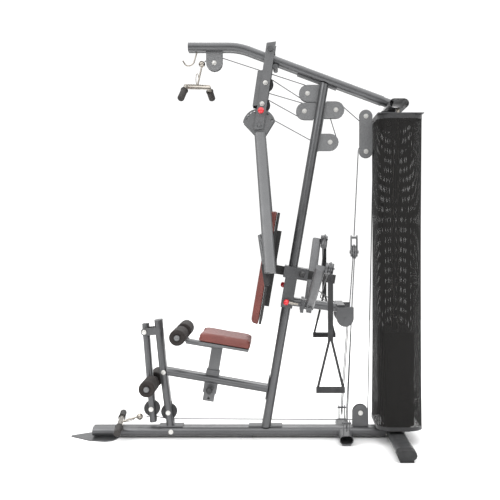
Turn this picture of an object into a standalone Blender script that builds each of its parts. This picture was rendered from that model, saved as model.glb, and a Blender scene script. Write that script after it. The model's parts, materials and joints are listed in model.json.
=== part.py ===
"""Multi station home gym: one leaning upright, a top boom, a shrouded weight stack, a press arm hung from
the boom, a leg developer, an adjustable seat and backrest, and two adjustable cable arms.

Metres, +Z up. X runs from the front foot plate to the weight stack and Y across the machine; the machine is
symmetric about Y = 0. The origin is on the floor, under the middle of the machine.
"""

import math

import bmesh
import bpy
from mathutils import Matrix, Vector

# Stock: oval tubes, plates, fits
GAP = 0.0003
OVAL_WIDTH = 0.096
OVAL_HEIGHT = 0.048
SMALL_OVAL_WIDTH = 0.076
SMALL_OVAL_HEIGHT = 0.040
TUBE_WALL = 0.0025
PLATE = 0.005
BOLT_RADIUS = 0.005
BOLT_HEAD_RADIUS = 0.0095
BOLT_HEAD = 0.006
ROUND_STEPS = 18

# Base frame
BEAM_Z = 0.036
BEAM_FRONT_X = -0.827
STACK_X = 0.800
REAR_FOOT_X = 0.793
REAR_FOOT_HALF = 0.475
REAR_SHOE = 0.060
MID_FOOT_X = 0.523
MID_FOOT_HALF = 0.185
FOOT_PLATE_TIP_X = -0.949
FOOT_PLATE_REAR_X = -0.693

# Upright and top boom
LEAN = math.radians(9.67)
UPRIGHT_X_AT_FLOOR = 0.0912
BOOM_FRONT_X = -0.316
BOOM_FRONT_Z = 2.100
BOOM_KNEE_X = -0.0445
BOOM_DROP = math.radians(20.43)
BOOM_BEND_RADIUS = 0.300
BOOM_REAR_X = 0.729

# Weight stack and shroud
GUIDE_HEAD_Z = 1.780
GUIDE_HEAD_WIDTH = 0.104
GUIDE_HEAD_HALF = 0.150
GUIDE_ROD_Y = 0.100
GUIDE_ROD_RADIUS = 0.0095
SHROUD_X = 0.8035
SHROUD_HALF_X = 0.1195
SHROUD_HALF_Y = 0.190
SHROUD_BOTTOM_Z = 0.078
SHROUD_TOP_Z = 1.722
SHROUD_WALL = 0.003
STACK_HALF_X = 0.075
STACK_HALF_Y = 0.155
STACK_BOTTOM_Z = 0.100
STACK_PITCH = 0.032
STACK_PLATES = 15
LIFTED_PLATES = 5

# Pulleys and cables: the cable's centre line runs at CABLE_WRAP from a pulley's axle
PULLEY_RADIUS = 0.043
PULLEY_GROOVE = 0.0365
PULLEY_HALF = 0.010
PULLEY_BORE = BOLT_RADIUS + GAP
CABLE_RADIUS = 0.0025
CABLE_WRAP = 0.0405
CABLE_STEP = math.radians(22)
CHEEK_Y = 0.0155
CHEEK_RADIUS = 0.046

LAT_AXLE = (-0.177, 2.016)
FRONT_UPPER_AXLE = (0.325, 1.852)
FRONT_LOWER_AXLE = (0.309, 1.756)
REAR_UPPER_AXLE = (0.478, 1.763)
REAR_LOWER_AXLE = (0.447, 1.589)
SWING_UPPER_AXLE = (0.0988, 1.902)
SWING_LOWER_AXLE = (0.0815, 1.790)
BLOCK_UPPER_AXLE = (0.640, 1.729)
BLOCK_LOWER_AXLE = (0.640, 1.539)
TOP_AXLE = (STACK_X - CABLE_WRAP, 1.690)
BASE_AXLE = (0.610, 0.133)
POST_AXLE = (-0.4217, 0.137)
LEVER_AXLE = (-0.5137, 0.155)
FLOATING_X = 0.577
FLOATING_Z = 0.997
MID_BASE_Y = 0.176
MID_BASE_Z = 0.117
MID_HIGH_AXLE = (0.519, 0.655)
MID_HIGH_Y = 0.125
CABLE_BALL = 0.018
LAT_BALL = (-0.245, 2.012)
LAT_CABLE_START = (-0.2304, 2.0237)
LOW_BALL = (-0.580, 0.108)
LOW_CABLE_START = (-0.5450, 0.1065)

# Press arm
SWING_PIVOT = (0.126, 2.083)
SWING_STOP = (0.1532, 1.989)
SWING_HALF_WIDTH = 0.0255
SWING_PLATE_Y = 0.056
PRESS_PIVOT = (0.066, 1.678)
SECTOR_RADIUS = 0.088
SECTOR_HOLES_RADIUS = 0.073
SECTOR_Y = 0.0445
SECTOR_SPAN = (18, 171)
SECTOR_STEPS = (-60, -30, 28, 43, 58, 73)
PRESS_KNOB_RADIUS = 0.017
PRESS_PIN_TIP = -0.0493
PRESS_TOP = (0.070, 0.0445, 1.634)
PRESS_BOTTOM = (0.1296, 0.300, 0.904)
PRESS_TUBE_WIDTH = 0.060
PRESS_TUBE_DEPTH = 0.030
GRIP_TOP = (0.074, 0.186, 1.095)
GRIP_BOTTOM = (0.116, 0.275, 0.837)
GRIP_RADIUS = 0.0165
GRIP_BAR_RADIUS = 0.0118

# Leg developer
POST_TOP = (-0.480, 0.632)
POST_KNEE = (-0.453, 0.370)
POST_FOOT = (-0.409, 0.0603)
LEVER_PIVOT = (-0.550, 0.569)
LEVER_TOP = (-0.549, 0.612)
LEVER_FOOT = (-0.506, 0.083)
LEVER_WIDTH = 0.060
LEVER_HEIGHT = 0.036
ROLLER_RADIUS = 0.042
ROLLER_BORE = 0.0128
ROLLER_LENGTH = 0.165
ROLLER_INNER_Y = 0.045
LEG_ROLLER = (-0.5085, 0.298)
SEAT_ROLLER = (-0.352, 0.563)

# Seat and backrest, both square to the upright
RAIL_WIDTH = 0.084
RAIL_FRONT_X = -0.415
RAIL_CROSSING = (-0.1906, 0.3137)
RAIL_SLOPE = 0.172
SEAT_LENGTH = 0.285
SEAT_WIDTH = 0.270
SEAT_THICKNESS = 0.045
SEAT_TOP_FRONT = (-0.250, 0.579)
SEAT_POST_WIDTH = 0.030
SEAT_POST_DEPTH = 0.060
SEAT_SLEEVE = 0.125
BACKREST_MIDDLE = (0.096, 0.920)
BACKREST_LENGTH = 0.615
BACKREST_WIDTH = 0.270
BACKREST_THICKNESS = 0.038
BOARD = 0.013
BACK_CHANNEL_LENGTH = 0.410
BACK_CHANNEL = 0.026
BACK_TUBE_Z = 0.889
BACK_TUBE_HEIGHT = 0.046
BACK_TUBE_HALF_Y = 0.018

# Cable arms
CARRIAGE_BEAM_Z = 0.730
CARRIAGE_BEAM_END = 0.290
ARM_PIVOT_Z = 0.728
ARM_PIVOT_BEHIND = 0.120
ARM_PIVOT_Y = 0.075
ARM_WHEEL = 0.502
ARM_WHEEL_BEHIND = 0.045
BALL_BELOW = 0.042
PIN_CLEAR = 0.0009
SEAT_STEP = 0.025
ARM_WRAP = 0.0297
MID_WRAP = 0.0338
ARM_WIDTH = 0.050
ARM_DEPTH = 0.026
ARM_RISE_LEFT = math.radians(29)
ARM_RISE_RIGHT = math.radians(46)
HANDLE_STRAP = 0.300
HANDLE_DROP = 0.530
HANDLE_GRIP = 0.135

# Bars
LAT_BAR_BENDS = ((-0.347, -0.100, 1.810), (-0.327, -0.030, 1.886),
                 (-0.213, 0.030, 1.892), (-0.198, 0.100, 1.838))
HANGER_RADIUS = 0.005
BAR_RADIUS = 0.0155
LOW_BAR_X = -0.685
LOW_BAR_Z = 0.0765
LOW_BAR_HALF = 0.225
LOW_BAR_TURN = math.radians(7.3)

MATERIALS = {
    "frame": ((0.090, 0.094, 0.100), 0.42, 0.55),
    "bracket": ((0.200, 0.205, 0.212), 0.45, 0.50),
    "chrome": ((0.720, 0.720, 0.710), 0.15, 1.00),
    "rubber": ((0.020, 0.020, 0.021), 0.80, 0.00),
    "pulley": ((0.025, 0.025, 0.027), 0.55, 0.00),
    "cable": ((0.045, 0.045, 0.047), 0.35, 0.20),
    "vinyl": ((0.310, 0.085, 0.070), 0.50, 0.00),
    "board": ((0.030, 0.030, 0.032), 0.60, 0.00),
    "mesh": ((0.030, 0.029, 0.028), 0.75, 0.00),
    "iron": ((0.050, 0.050, 0.052), 0.60, 0.40),
    "red": ((0.700, 0.020, 0.030), 0.30, 0.00),
}

ALONG = Vector((math.sin(LEAN), 0, math.cos(LEAN)))
ACROSS = Vector((math.cos(LEAN), 0, -math.sin(LEAN)))


def upright_x(z):
    """The X of the upright's centre line at a height."""
    return UPRIGHT_X_AT_FLOOR + math.tan(LEAN) * z


def boom_z(x):
    """The Z of the boom's centre line behind its knee."""
    return BOOM_FRONT_Z - math.tan(BOOM_DROP) * (x - BOOM_KNEE_X)


# Scene, materials and modelling helpers


def new_collection(name):
    collection = bpy.data.collections.new(name)
    bpy.context.scene.collection.children.link(collection)
    return collection


for old in list(bpy.data.objects):
    bpy.data.objects.remove(old, do_unlink=True)
MODEL = new_collection("multi_station_home_gym")


def material(finish):
    """The Principled material of a finish, made once."""
    found = bpy.data.materials.get(finish)
    if found:
        return found
    colour, roughness, metallic = MATERIALS[finish]
    found = bpy.data.materials.new(finish)
    found.use_nodes = True
    shader = found.node_tree.nodes["Principled BSDF"]
    shader.inputs["Base Color"].default_value = (*colour, 1)
    shader.inputs["Roughness"].default_value = roughness
    shader.inputs["Metallic"].default_value = metallic
    found.diffuse_color = (*colour, 1)
    return found


def add(name, data, finish):
    obj = bpy.data.objects.new(name, data)
    MODEL.objects.link(obj)
    obj.data.materials.append(material(finish))
    return obj


def bake(obj, matrix=None):
    """Turns a curve, or a mesh with modifiers, into one welded mesh, moved by the matrix."""
    bpy.context.view_layer.update()
    graph = bpy.context.evaluated_depsgraph_get()
    mesh = bpy.data.meshes.new_from_object(obj.evaluated_get(graph))
    shape = bmesh.new()
    shape.from_mesh(mesh)
    bmesh.ops.remove_doubles(shape, verts=shape.verts, dist=1e-6)
    bmesh.ops.transform(shape, matrix=matrix or Matrix(), verts=shape.verts)
    bmesh.ops.recalc_face_normals(shape, faces=shape.faces)
    shape.to_mesh(mesh)
    shape.free()
    name = obj.name
    finish = obj.data.materials[0].name
    bpy.data.objects.remove(obj)
    mesh.materials.clear()
    return add(name, mesh, finish)


def combine(obj, others, operation="UNION"):
    """Joins the others to the object, or cuts them from it, and removes them."""
    for other in others:
        boolean = obj.modifiers.new(other.name, "BOOLEAN")
        boolean.operation = operation
        boolean.object = other
    result = bake(obj)
    for other in others:
        bpy.data.objects.remove(other)
    return result


def cut(obj, others):
    return combine(obj, others, "DIFFERENCE")


def finish_piece(obj, origin=None, smooth=40):
    """Puts the object's origin at a point, such as one on its joint's axis, and smooths its round sides."""
    if origin is not None:
        obj.data.transform(Matrix.Translation(-Vector(origin)))
        obj.location = origin
    if obj.type == "MESH":
        obj.data.shade_smooth()
        obj.data.set_sharp_from_angle(angle=math.radians(smooth))
    return obj


def frame_matrix(centre, z_axis, x_axis=(0, 1, 0)):
    """A matrix with local Z along z_axis and local X as near x_axis as it can be."""
    z = Vector(z_axis).normalized()
    y = z.cross(Vector(x_axis)).normalized()
    matrix = Matrix((y.cross(z), y, z)).transposed().to_4x4()
    matrix.translation = centre
    return matrix


SIDE_ON = Matrix.Rotation(math.radians(90), 4, "X")


def stadium(width, height, steps=6):
    """A long rounded outline, width along X and height along Y."""
    radius = height / 2
    reach = width / 2 - radius
    points = []
    for centre, start in ((reach, -90), (-reach, 90)):
        for step in range(steps + 1):
            angle = math.radians(start + 180 * step / steps)
            points.append((centre + radius * math.cos(angle), radius * math.sin(angle)))
    return points


def rectangle(low, high):
    return [(low[0], low[1]), (high[0], low[1]), (high[0], high[1]), (low[0], high[1])]


def ring(centre, radius, steps=ROUND_STEPS):
    turns = (2 * math.pi * step / steps for step in range(steps))
    return [(centre[0] + radius * math.cos(turn), centre[1] + radius * math.sin(turn)) for turn in turns]


def capsule(a, b, radius, steps=8):
    """The outline of two half discs about a and b with straight sides."""
    heading = math.atan2(b[1] - a[1], b[0] - a[0])
    points = []
    for centre, start in ((b, heading - math.pi / 2), (a, heading + math.pi / 2)):
        for step in range(steps + 1):
            angle = start + math.pi * step / steps
            points.append((centre[0] + radius * math.cos(angle), centre[1] + radius * math.sin(angle)))
    return points


def extrusion(name, loops, thickness, finish, matrix):
    """The flat outline, with any inner loops as holes, given its thickness along the matrix's Z."""
    curve = bpy.data.curves.new(name, "CURVE")
    curve.dimensions = "2D"
    curve.fill_mode = "BOTH"
    curve.extrude = thickness / 2
    for loop in loops:
        spline = curve.splines.new("POLY")
        spline.points.add(len(loop) - 1)
        for point, (x, y) in zip(spline.points, loop):
            point.co = (x, y, 0, 1)
        spline.use_cyclic_u = True
    return bake(add(name, curve, finish), matrix)


def plate(name, loops, thickness, finish, y=0.0):
    """A plate standing along the machine: its outline is in X and Z, centred on y."""
    return extrusion(name, loops, thickness, finish, Matrix.Translation((0, y, 0)) @ SIDE_ON)


def oval_tube(name, start, end, width, height, finish="frame", wall=TUBE_WALL, side=(0, 1, 0)):
    """A straight oval tube, its width along side; a wall of 0 makes it solid."""
    start = Vector(start)
    end = Vector(end)
    loops = [stadium(width, height)]
    if wall:
        loops.append(stadium(width - 2 * wall, height - 2 * wall))
    matrix = frame_matrix((start + end) / 2, end - start, side)
    return extrusion(name, loops, (end - start).length, finish, matrix)


def rod(name, start, end, radius, finish, steps=ROUND_STEPS, end_radius=None):
    start = Vector(start)
    end = Vector(end)
    shape = bmesh.new()
    bmesh.ops.create_cone(
        shape,
        cap_ends=True,
        segments=steps,
        radius1=radius,
        radius2=radius if end_radius is None else end_radius,
        depth=(end - start).length,
        matrix=frame_matrix((start + end) / 2, end - start, (0.3, 1, 0.2)),
    )
    mesh = bpy.data.meshes.new(name)
    shape.to_mesh(mesh)
    shape.free()
    return add(name, mesh, finish)


def cross_rod(name, point, half, radius, finish, steps=12):
    """A rod across the machine through a point in X and Z, such as an axle."""
    x, z = point
    return rod(name, (x, -half, z), (x, half, z), radius, finish, steps)


def box(name, size, finish, matrix):
    shape = bmesh.new()
    bmesh.ops.create_cube(shape, size=1, matrix=matrix @ Matrix.Diagonal((*size, 1)))
    mesh = bpy.data.meshes.new(name)
    shape.to_mesh(mesh)
    shape.free()
    return add(name, mesh, finish)


def soft_block(name, size, finish, matrix, rounding, segments=2):
    """A box with its edges rounded."""
    block = box(name, size, finish, Matrix())
    bevel = block.modifiers.new("rounding", "BEVEL")
    bevel.width = rounding
    bevel.segments = segments
    return bake(block, matrix)


def turned(name, profile, finish, matrix, closed=True, steps=ROUND_STEPS):
    """A profile of (radius, height) points, run down its outer side, turned about the matrix's Z."""
    mesh = bpy.data.meshes.new(name)
    last = len(profile) if closed else len(profile) - 1
    edges = [(i, (i + 1) % len(profile)) for i in range(last)]
    mesh.from_pydata([(radius, 0, height) for radius, height in profile], edges, [])
    obj = add(name, mesh, finish)
    screw = obj.modifiers.new("turn", "SCREW")
    screw.steps = steps
    screw.render_steps = steps
    screw.use_merge_vertices = True
    screw.merge_threshold = 1e-5
    return bake(obj, matrix)


def wire(name, points, radius, finish, resolution=2):
    """A round tube along the points."""
    curve = bpy.data.curves.new(name, "CURVE")
    curve.dimensions = "3D"
    curve.bevel_depth = radius
    curve.bevel_resolution = resolution
    curve.use_fill_caps = True
    spline = curve.splines.new("POLY")
    spline.points.add(len(points) - 1)
    for point, place in zip(spline.points, points):
        point.co = (*place, 1)
    return add(name, curve, finish)


def arc(centre, radius, start, end, steps):
    """Points on an arc, in degrees, with both ends."""
    points = []
    for step in range(steps + 1):
        angle = math.radians(start + (end - start) * step / steps)
        points.append((centre[0] + radius * math.cos(angle), centre[1] + radius * math.sin(angle)))
    return points


def belt(start, wheels, end):
    """The centre line of a cable over wheels, each (centre, turn), with turn 1 counter-clockwise."""
    stops = [(Vector(start), 0)] + [(Vector(centre), turn) for centre, turn in wheels] + [(Vector(end), 0)]
    headings = []
    for (here, turn), (there, next_turn) in zip(stops, stops[1:]):
        span = there - here
        bend = math.asin((next_turn - turn) * CABLE_WRAP / span.length)
        headings.append(math.atan2(span.y, span.x) - bend)
    points = [tuple(start)]
    for (centre, turn), arriving, leaving in zip(stops[1:-1], headings, headings[1:]):
        sweep = (leaving - arriving) * turn % (2 * math.pi) * turn
        first = math.degrees(arriving) - 90 * turn
        steps = math.ceil(abs(sweep) / CABLE_STEP)
        points += arc(centre, CABLE_WRAP, first, first + math.degrees(sweep), steps)
    return points + [tuple(end)]


def side_wire(name, points, finish="cable"):
    """A cable in the middle plane from points in X and Z."""
    return wire(name, [(x, 0, z) for x, z in points], CABLE_RADIUS, finish)


def pulley(name, axle):
    """A grooved wheel on an axle across the machine."""
    profile = [
        (PULLEY_RADIUS, PULLEY_HALF),
        (PULLEY_GROOVE, 0.0032),
        (PULLEY_GROOVE, -0.0032),
        (PULLEY_RADIUS, -PULLEY_HALF),
        (PULLEY_BORE, -PULLEY_HALF),
        (PULLEY_BORE, PULLEY_HALF),
    ]
    centre = (axle[0], 0, axle[1])
    wheel = turned(name, profile, "pulley", frame_matrix(centre, (0, 1, 0), (1, 0, 0)))
    return finish_piece(wheel, centre)


def bolts(name, axles, half, finish="bracket"):
    """Axle bolts across the machine with a head at each end, as one list of rods."""
    rods = []
    for index, (x, z) in enumerate(axles):
        rods.append(cross_rod(f"{name}_shank_{index}", (x, z), half, BOLT_RADIUS, finish))
        for side in (-1, 1):
            inner = (x, side * (half - BOLT_HEAD), z)
            outer = (x, side * half, z)
            rods.append(rod(f"{name}_head_{index}_{side}", inner, outer, BOLT_HEAD_RADIUS, finish, 6))
    return rods


def cheeks(name, outline, axles, finish="bracket", holes=(), cheek_y=CHEEK_Y):
    """Two plates either side of the pulleys, with the pulleys' axle bolts through them."""
    loops = [outline, *holes]
    near = plate(name, loops, PLATE, finish, -cheek_y)
    far = plate(name + "_far", loops, PLATE, finish, cheek_y)
    return combine(near, [far, *bolts(name, axles, cheek_y + PLATE / 2 + BOLT_HEAD, finish)])


def tab(axle, face_x, tilt, side, radius=CHEEK_RADIUS):
    """A cheek outline: round about its axle, straight to a leaning face on the other side."""
    x, z = axle
    start = 90 if side < 0 else -90
    points = arc((x, z), radius, start, start + 180, 8)
    ends = [(face_x - tilt * radius, z - radius), (face_x + tilt * radius, z + radius)]
    return points + (ends if side < 0 else ends[::-1])


def arch(x, foot, axle_z, radius):
    """A cheek outline with a flat foot (or top) and a round end about the axle."""
    rising = 1 if axle_z > foot else -1
    points = arc((x, axle_z), radius, 0, 180 * rising, 8)
    return points + [(x - radius, foot), (x + radius, foot)]


def leaning_box(name, size, finish, centre):
    """A box square to the upright: its sides run across, sideways and along it."""
    return box(name, size, finish, leaning_matrix(centre))


def leaning_matrix(centre):
    return Matrix.Translation(centre) @ Matrix.Rotation(LEAN, 4, "Y")


def on_upright(z, behind=0.0, along=0.0, y=0.0):
    """A point given by its height on the upright's centre line, how far behind it, and how far along it."""
    return Vector((upright_x(z), y, z)) + ACROSS * behind + ALONG * along


# Base frame


def make_base_beam():
    rear = REAR_FOOT_X - OVAL_WIDTH / 2 - GAP
    beam = oval_tube("base_beam", (BEAM_FRONT_X, 0, BEAM_Z), (rear, 0, BEAM_Z), OVAL_WIDTH, OVAL_HEIGHT)
    top = BEAM_Z + OVAL_HEIGHT / 2
    welded = [cheeks("base_cheek", arch(BASE_AXLE[0], top - 0.0015, BASE_AXLE[1], 0.042), [BASE_AXLE],
                     "frame")]
    welded.append(box("pad", (0.060, 0.044, 0.0135), "frame", Matrix.Translation((0, 0, 0.00675))))
    stub_z = BEAM_Z - 0.005
    for side in (-1, 1):
        inner = (MID_FOOT_X, side * 0.0465, stub_z)
        outer = (MID_FOOT_X, side * MID_FOOT_HALF, stub_z)
        welded.append(oval_tube(f"mid_foot_{side}", inner, outer, 0.074, 0.046, side=(1, 0, 0)))
        glide = Matrix.Translation((MID_FOOT_X, side * (MID_FOOT_HALF - 0.020), 0.005))
        welded.append(box(f"glide_{side}", (0.044, 0.034, 0.0099), "frame", glide))
        for ear_x in (MID_FOOT_X - CHEEK_Y, MID_FOOT_X + CHEEK_Y):
            outline = arch(side * MID_BASE_Y, stub_z + 0.0215, MID_BASE_Z, 0.016)
            quarter = Matrix.Rotation(math.radians(90), 4, "Z")
            upright_plane = Matrix.Translation((ear_x, 0, 0)) @ quarter @ SIDE_ON
            welded.append(extrusion(f"ear_{side}_{ear_x}", [outline], 0.004, "frame", upright_plane))
        start = (MID_FOOT_X - 0.024, side * MID_BASE_Y, MID_BASE_Z)
        end = (MID_FOOT_X + 0.024, side * MID_BASE_Y, MID_BASE_Z)
        welded.append(rod(f"mid_axle_{side}", start, end, BOLT_RADIUS, "frame", 10))
    finish_piece(combine(beam, welded))


def make_front_foot_plate():
    widest = FOOT_PLATE_REAR_X - 0.052
    half = [(FOOT_PLATE_TIP_X, 0.006), (-0.900, 0.040), (-0.830, 0.088), (widest, 0.106), (-0.712, 0.092)]
    half.append((FOOT_PLATE_REAR_X, 0.055))
    outline = half + [(x, -y) for x, y in reversed(half)]
    sole = extrusion("front_foot_plate", [outline], 0.006, "frame", Matrix.Translation((0, 0, 0.003)))
    riser = box("riser", (0.105, 0.044, 0.0072), "frame", Matrix.Translation((-0.768, 0, 0.0081)))
    finish_piece(combine(sole, [riser]))


def make_rear_foot():
    tube_half = REAR_FOOT_HALF - REAR_SHOE
    start = (REAR_FOOT_X, -tube_half, BEAM_Z)
    end = (REAR_FOOT_X, tube_half, BEAM_Z)
    finish_piece(oval_tube("rear_foot", start, end, OVAL_WIDTH, OVAL_HEIGHT, side=(1, 0, 0)))
    for name, side in (("rear_shoe_left", -1), ("rear_shoe_right", 1)):
        inner = (REAR_FOOT_X, side * (tube_half + GAP), BEAM_Z)
        outer = (REAR_FOOT_X, side * REAR_FOOT_HALF, BEAM_Z)
        shoe = oval_tube(name, inner, outer, OVAL_WIDTH, OVAL_HEIGHT, "rubber", 0, (1, 0, 0))
        middle = Matrix.Translation((REAR_FOOT_X, side * (REAR_FOOT_HALF - REAR_SHOE / 2), 0.0075))
        sole = box(name + "_sole", (0.068, 0.050, 0.015), "rubber", middle)
        finish_piece(combine(shoe, [sole]))


# Upright and boom


def slot_cutter():
    """The way through the upright for the cable from the lower swing pulley to the lower rear pulley."""
    return box("cable_slot", (0.120, 0.014, 0.070), "frame", Matrix.Translation((0.365, 0, 1.590)))


def low_cable_cutter():
    """The way through the upright's foot for the low cable."""
    return box("low_slot", (0.200, 0.014, 0.030), "frame", Matrix.Translation((0.105, 0, 0.095)))


def back_tube_cutter():
    """The way through the upright and the carriage for the backrest's tube."""
    size = (0.400, 2 * BACK_TUBE_HALF_Y + 0.003, BACK_TUBE_HEIGHT + 0.003)
    return leaning_box("back_tube_way", size, "frame", on_upright(BACK_TUBE_Z))


def make_upright():
    low = on_upright(0.030)
    high = on_upright(1.960)
    tube = oval_tube("main_upright", low, high, OVAL_WIDTH, OVAL_HEIGHT)
    beam_top = BEAM_Z + OVAL_HEIGHT / 2 + GAP
    below = box("below", (0.4, 0.4, 0.4), "frame", Matrix.Translation((0.1, 0, beam_top - 0.2)))
    boom_tilt = Matrix.Rotation(BOOM_DROP, 4, "Y")
    saddle_x = 0.385
    face = Vector((saddle_x, 0, boom_z(saddle_x))) - (OVAL_HEIGHT / 2 + GAP) * Vector(
        (math.sin(BOOM_DROP), 0, math.cos(BOOM_DROP))
    )
    down = Vector((-math.sin(BOOM_DROP), 0, -math.cos(BOOM_DROP)))
    above = box("above", (0.6, 0.4, 0.4), "frame", Matrix.Translation(face - 0.2 * down) @ boom_tilt)
    tube = cut(tube, [below, above, slot_cutter(), low_cable_cutter(), back_tube_cutter()])
    saddle = box("saddle", (0.225, 0.060, 0.006), "frame",
                 Matrix.Translation(face + 0.003 * down) @ boom_tilt)
    foot = box("foot", (0.180, 0.060, 0.006), "frame", Matrix.Translation((0.099, 0, beam_top + 0.003)))
    finish_piece(combine(tube, [saddle, foot]))


def make_boom():
    tangent = BOOM_BEND_RADIUS * math.tan(BOOM_DROP / 2)
    centre = (BOOM_KNEE_X - tangent, BOOM_FRONT_Z - BOOM_BEND_RADIUS)
    bend = arc(centre, BOOM_BEND_RADIUS, 90, 90 - math.degrees(BOOM_DROP), 5)
    route = [(BOOM_FRONT_X, BOOM_FRONT_Z), *bend, (BOOM_REAR_X, boom_z(BOOM_REAR_X))]
    section = bpy.data.curves.new("boom_section", "CURVE")
    section.dimensions = "2D"
    spline = section.splines.new("POLY")
    outline = stadium(OVAL_WIDTH, OVAL_HEIGHT)
    spline.points.add(len(outline) - 1)
    for point, (x, y) in zip(spline.points, outline):
        point.co = (x, y, 0, 1)
    spline.use_cyclic_u = True
    section_obj = add("boom_section", section, "frame")
    boom = wire("top_boom", [(x, 0, z) for x, z in route], 0, "frame")
    boom.data.twist_mode = "Z_UP"
    boom.data.use_fill_caps = False
    boom.data.bevel_mode = "OBJECT"
    boom.data.bevel_object = section_obj
    boom = bake(boom)
    bpy.data.objects.remove(section_obj)
    wall = boom.modifiers.new("wall", "SOLIDIFY")
    wall.thickness = TUBE_WALL
    wall.offset = -1
    boom = bake(boom)
    x, z = SWING_PIVOT
    ears = []
    for side in (-1, 1):
        outline = capsule((x, z), (x + 0.008, boom_z(x) + 0.022), 0.019)
        ears.append(plate(f"ear_{side}", [outline], 0.006, "frame", side * 0.026))
    axle = cross_rod("pivot_axle", SWING_PIVOT, 0.068, 0.0100, "frame", ROUND_STEPS)
    ears.append(cross_rod("bumper", SWING_STOP, 0.060, 0.0140, "frame", 16))
    ends = [
        rod(f"pivot_head_{side}", (x, side * 0.0606, z), (x, side * 0.0700, z), 0.015, "frame", 6)
        for side in (-1, 1)
    ]
    finish_piece(combine(boom, [*ears, axle, *ends]))


def make_pulley_brackets():
    under_boom = BOOM_FRONT_Z - OVAL_HEIGHT / 2 - GAP
    lat = cheeks("lat_bracket", arch(LAT_AXLE[0], under_boom - 0.002, LAT_AXLE[1], 0.044), [LAT_AXLE])
    web = box("lat_web", (0.090, 0.044, 0.005), "bracket",
              Matrix.Translation((LAT_AXLE[0], 0, under_boom - 0.0025)))
    finish_piece(combine(lat, [web]))
    sides = (("front_pulley_bracket", -1, FRONT_UPPER_AXLE, FRONT_LOWER_AXLE),
             ("rear_pulley_bracket", 1, REAR_UPPER_AXLE, REAR_LOWER_AXLE))
    for name, side, upper, lower in sides:
        pieces = []
        for index, axle in enumerate((upper, lower)):
            face_x = upright_x(axle[1]) + side * (OVAL_HEIGHT / 2 + 0.003) / math.cos(LEAN)
            outline = tab(axle, face_x, math.tan(LEAN), side)
            pieces.append(cheeks(f"{name}_{index}", outline, [axle]))
        middle = (upper[1] + lower[1]) / 2
        length = upper[1] - lower[1] + 2 * CHEEK_RADIUS
        centre = on_upright(middle, side * (OVAL_HEIGHT / 2 + GAP + 0.0025))
        strip = leaning_box(name, (0.005, 0.044, length), "bracket", centre)
        bracket = combine(strip, pieces)
        if side > 0:
            bracket = cut(bracket, [slot_cutter()])
        finish_piece(bracket)


# Weight stack and shroud


def make_stack_frame():
    head = oval_tube(
        "guide_head",
        (STACK_X, -GUIDE_HEAD_HALF, GUIDE_HEAD_Z),
        (STACK_X, GUIDE_HEAD_HALF, GUIDE_HEAD_Z),
        GUIDE_HEAD_WIDTH,
        0.050,
        side=(1, 0, 0),
    )
    boom_end = boom_z(BOOM_REAR_X)
    hanger = box("hanger", (0.070, 0.050, 0.012), "frame",
                 Matrix.Translation((STACK_X, 0, GUIDE_HEAD_Z + 0.030)))
    x, z = TOP_AXLE
    cheek = arch(x, GUIDE_HEAD_Z - 0.0235, z, 0.036)
    welded = [hanger, cheeks("top_cheek", cheek, [TOP_AXLE], "frame")]
    neck_end = Vector((STACK_X - 0.018, 0, GUIDE_HEAD_Z + 0.012))
    boom_way = Vector((math.cos(BOOM_DROP), 0, -math.sin(BOOM_DROP)))
    neck_start = Vector((BOOM_REAR_X, 0, boom_end)) + boom_way * GAP
    welded.append(oval_tube("neck", neck_start, neck_end, OVAL_WIDTH - 0.006, OVAL_HEIGHT - 0.006, wall=0))
    finish_piece(combine(head, welded))
    low = BEAM_Z + OVAL_HEIGHT / 2 + GAP
    high = GUIDE_HEAD_Z - 0.025 - GAP
    for name, side in (("guide_rod_left", -1), ("guide_rod_right", 1)):
        start = (STACK_X, side * GUIDE_ROD_Y, low)
        finish_piece(rod(name, start, (STACK_X, side * GUIDE_ROD_Y, high), GUIDE_ROD_RADIUS, "chrome", 16))


def make_shroud():
    outer = [(SHROUD_X - SHROUD_HALF_X, -SHROUD_HALF_Y), (SHROUD_X + SHROUD_HALF_X, -SHROUD_HALF_Y),
             (SHROUD_X + SHROUD_HALF_X, SHROUD_HALF_Y), (SHROUD_X - SHROUD_HALF_X, SHROUD_HALF_Y)]
    wall = SHROUD_WALL
    inner = [(x + math.copysign(wall, SHROUD_X - x), y - math.copysign(wall, y)) for x, y in outer]
    height = SHROUD_TOP_Z - SHROUD_BOTTOM_Z
    middle = Matrix.Translation((0, 0, (SHROUD_TOP_Z + SHROUD_BOTTOM_Z) / 2))
    shroud = extrusion("mesh_shroud", [outer, inner], height, "mesh", middle)
    notch = box("notch", (0.080, 0.076, 0.130), "mesh",
                Matrix.Translation((SHROUD_X - SHROUD_HALF_X, 0, 1.700)))
    finish_piece(cut(shroud, [notch]))
    top = rectangle((SHROUD_X - SHROUD_HALF_X, -SHROUD_HALF_Y), (SHROUD_X + SHROUD_HALF_X, SHROUD_HALF_Y))
    ways = [rectangle((SHROUD_X - SHROUD_HALF_X + 0.012, -0.032), (STACK_X + 0.012, 0.032))]
    ways += [ring((STACK_X, side * GUIDE_ROD_Y), GUIDE_ROD_RADIUS + 0.001, 16) for side in (-1, 1)]
    lid_z = SHROUD_TOP_Z + GAP + 0.002
    finish_piece(extrusion("shroud_top_plate", [top, *ways], 0.004, "frame",
                           Matrix.Translation((0, 0, lid_z))))


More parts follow.
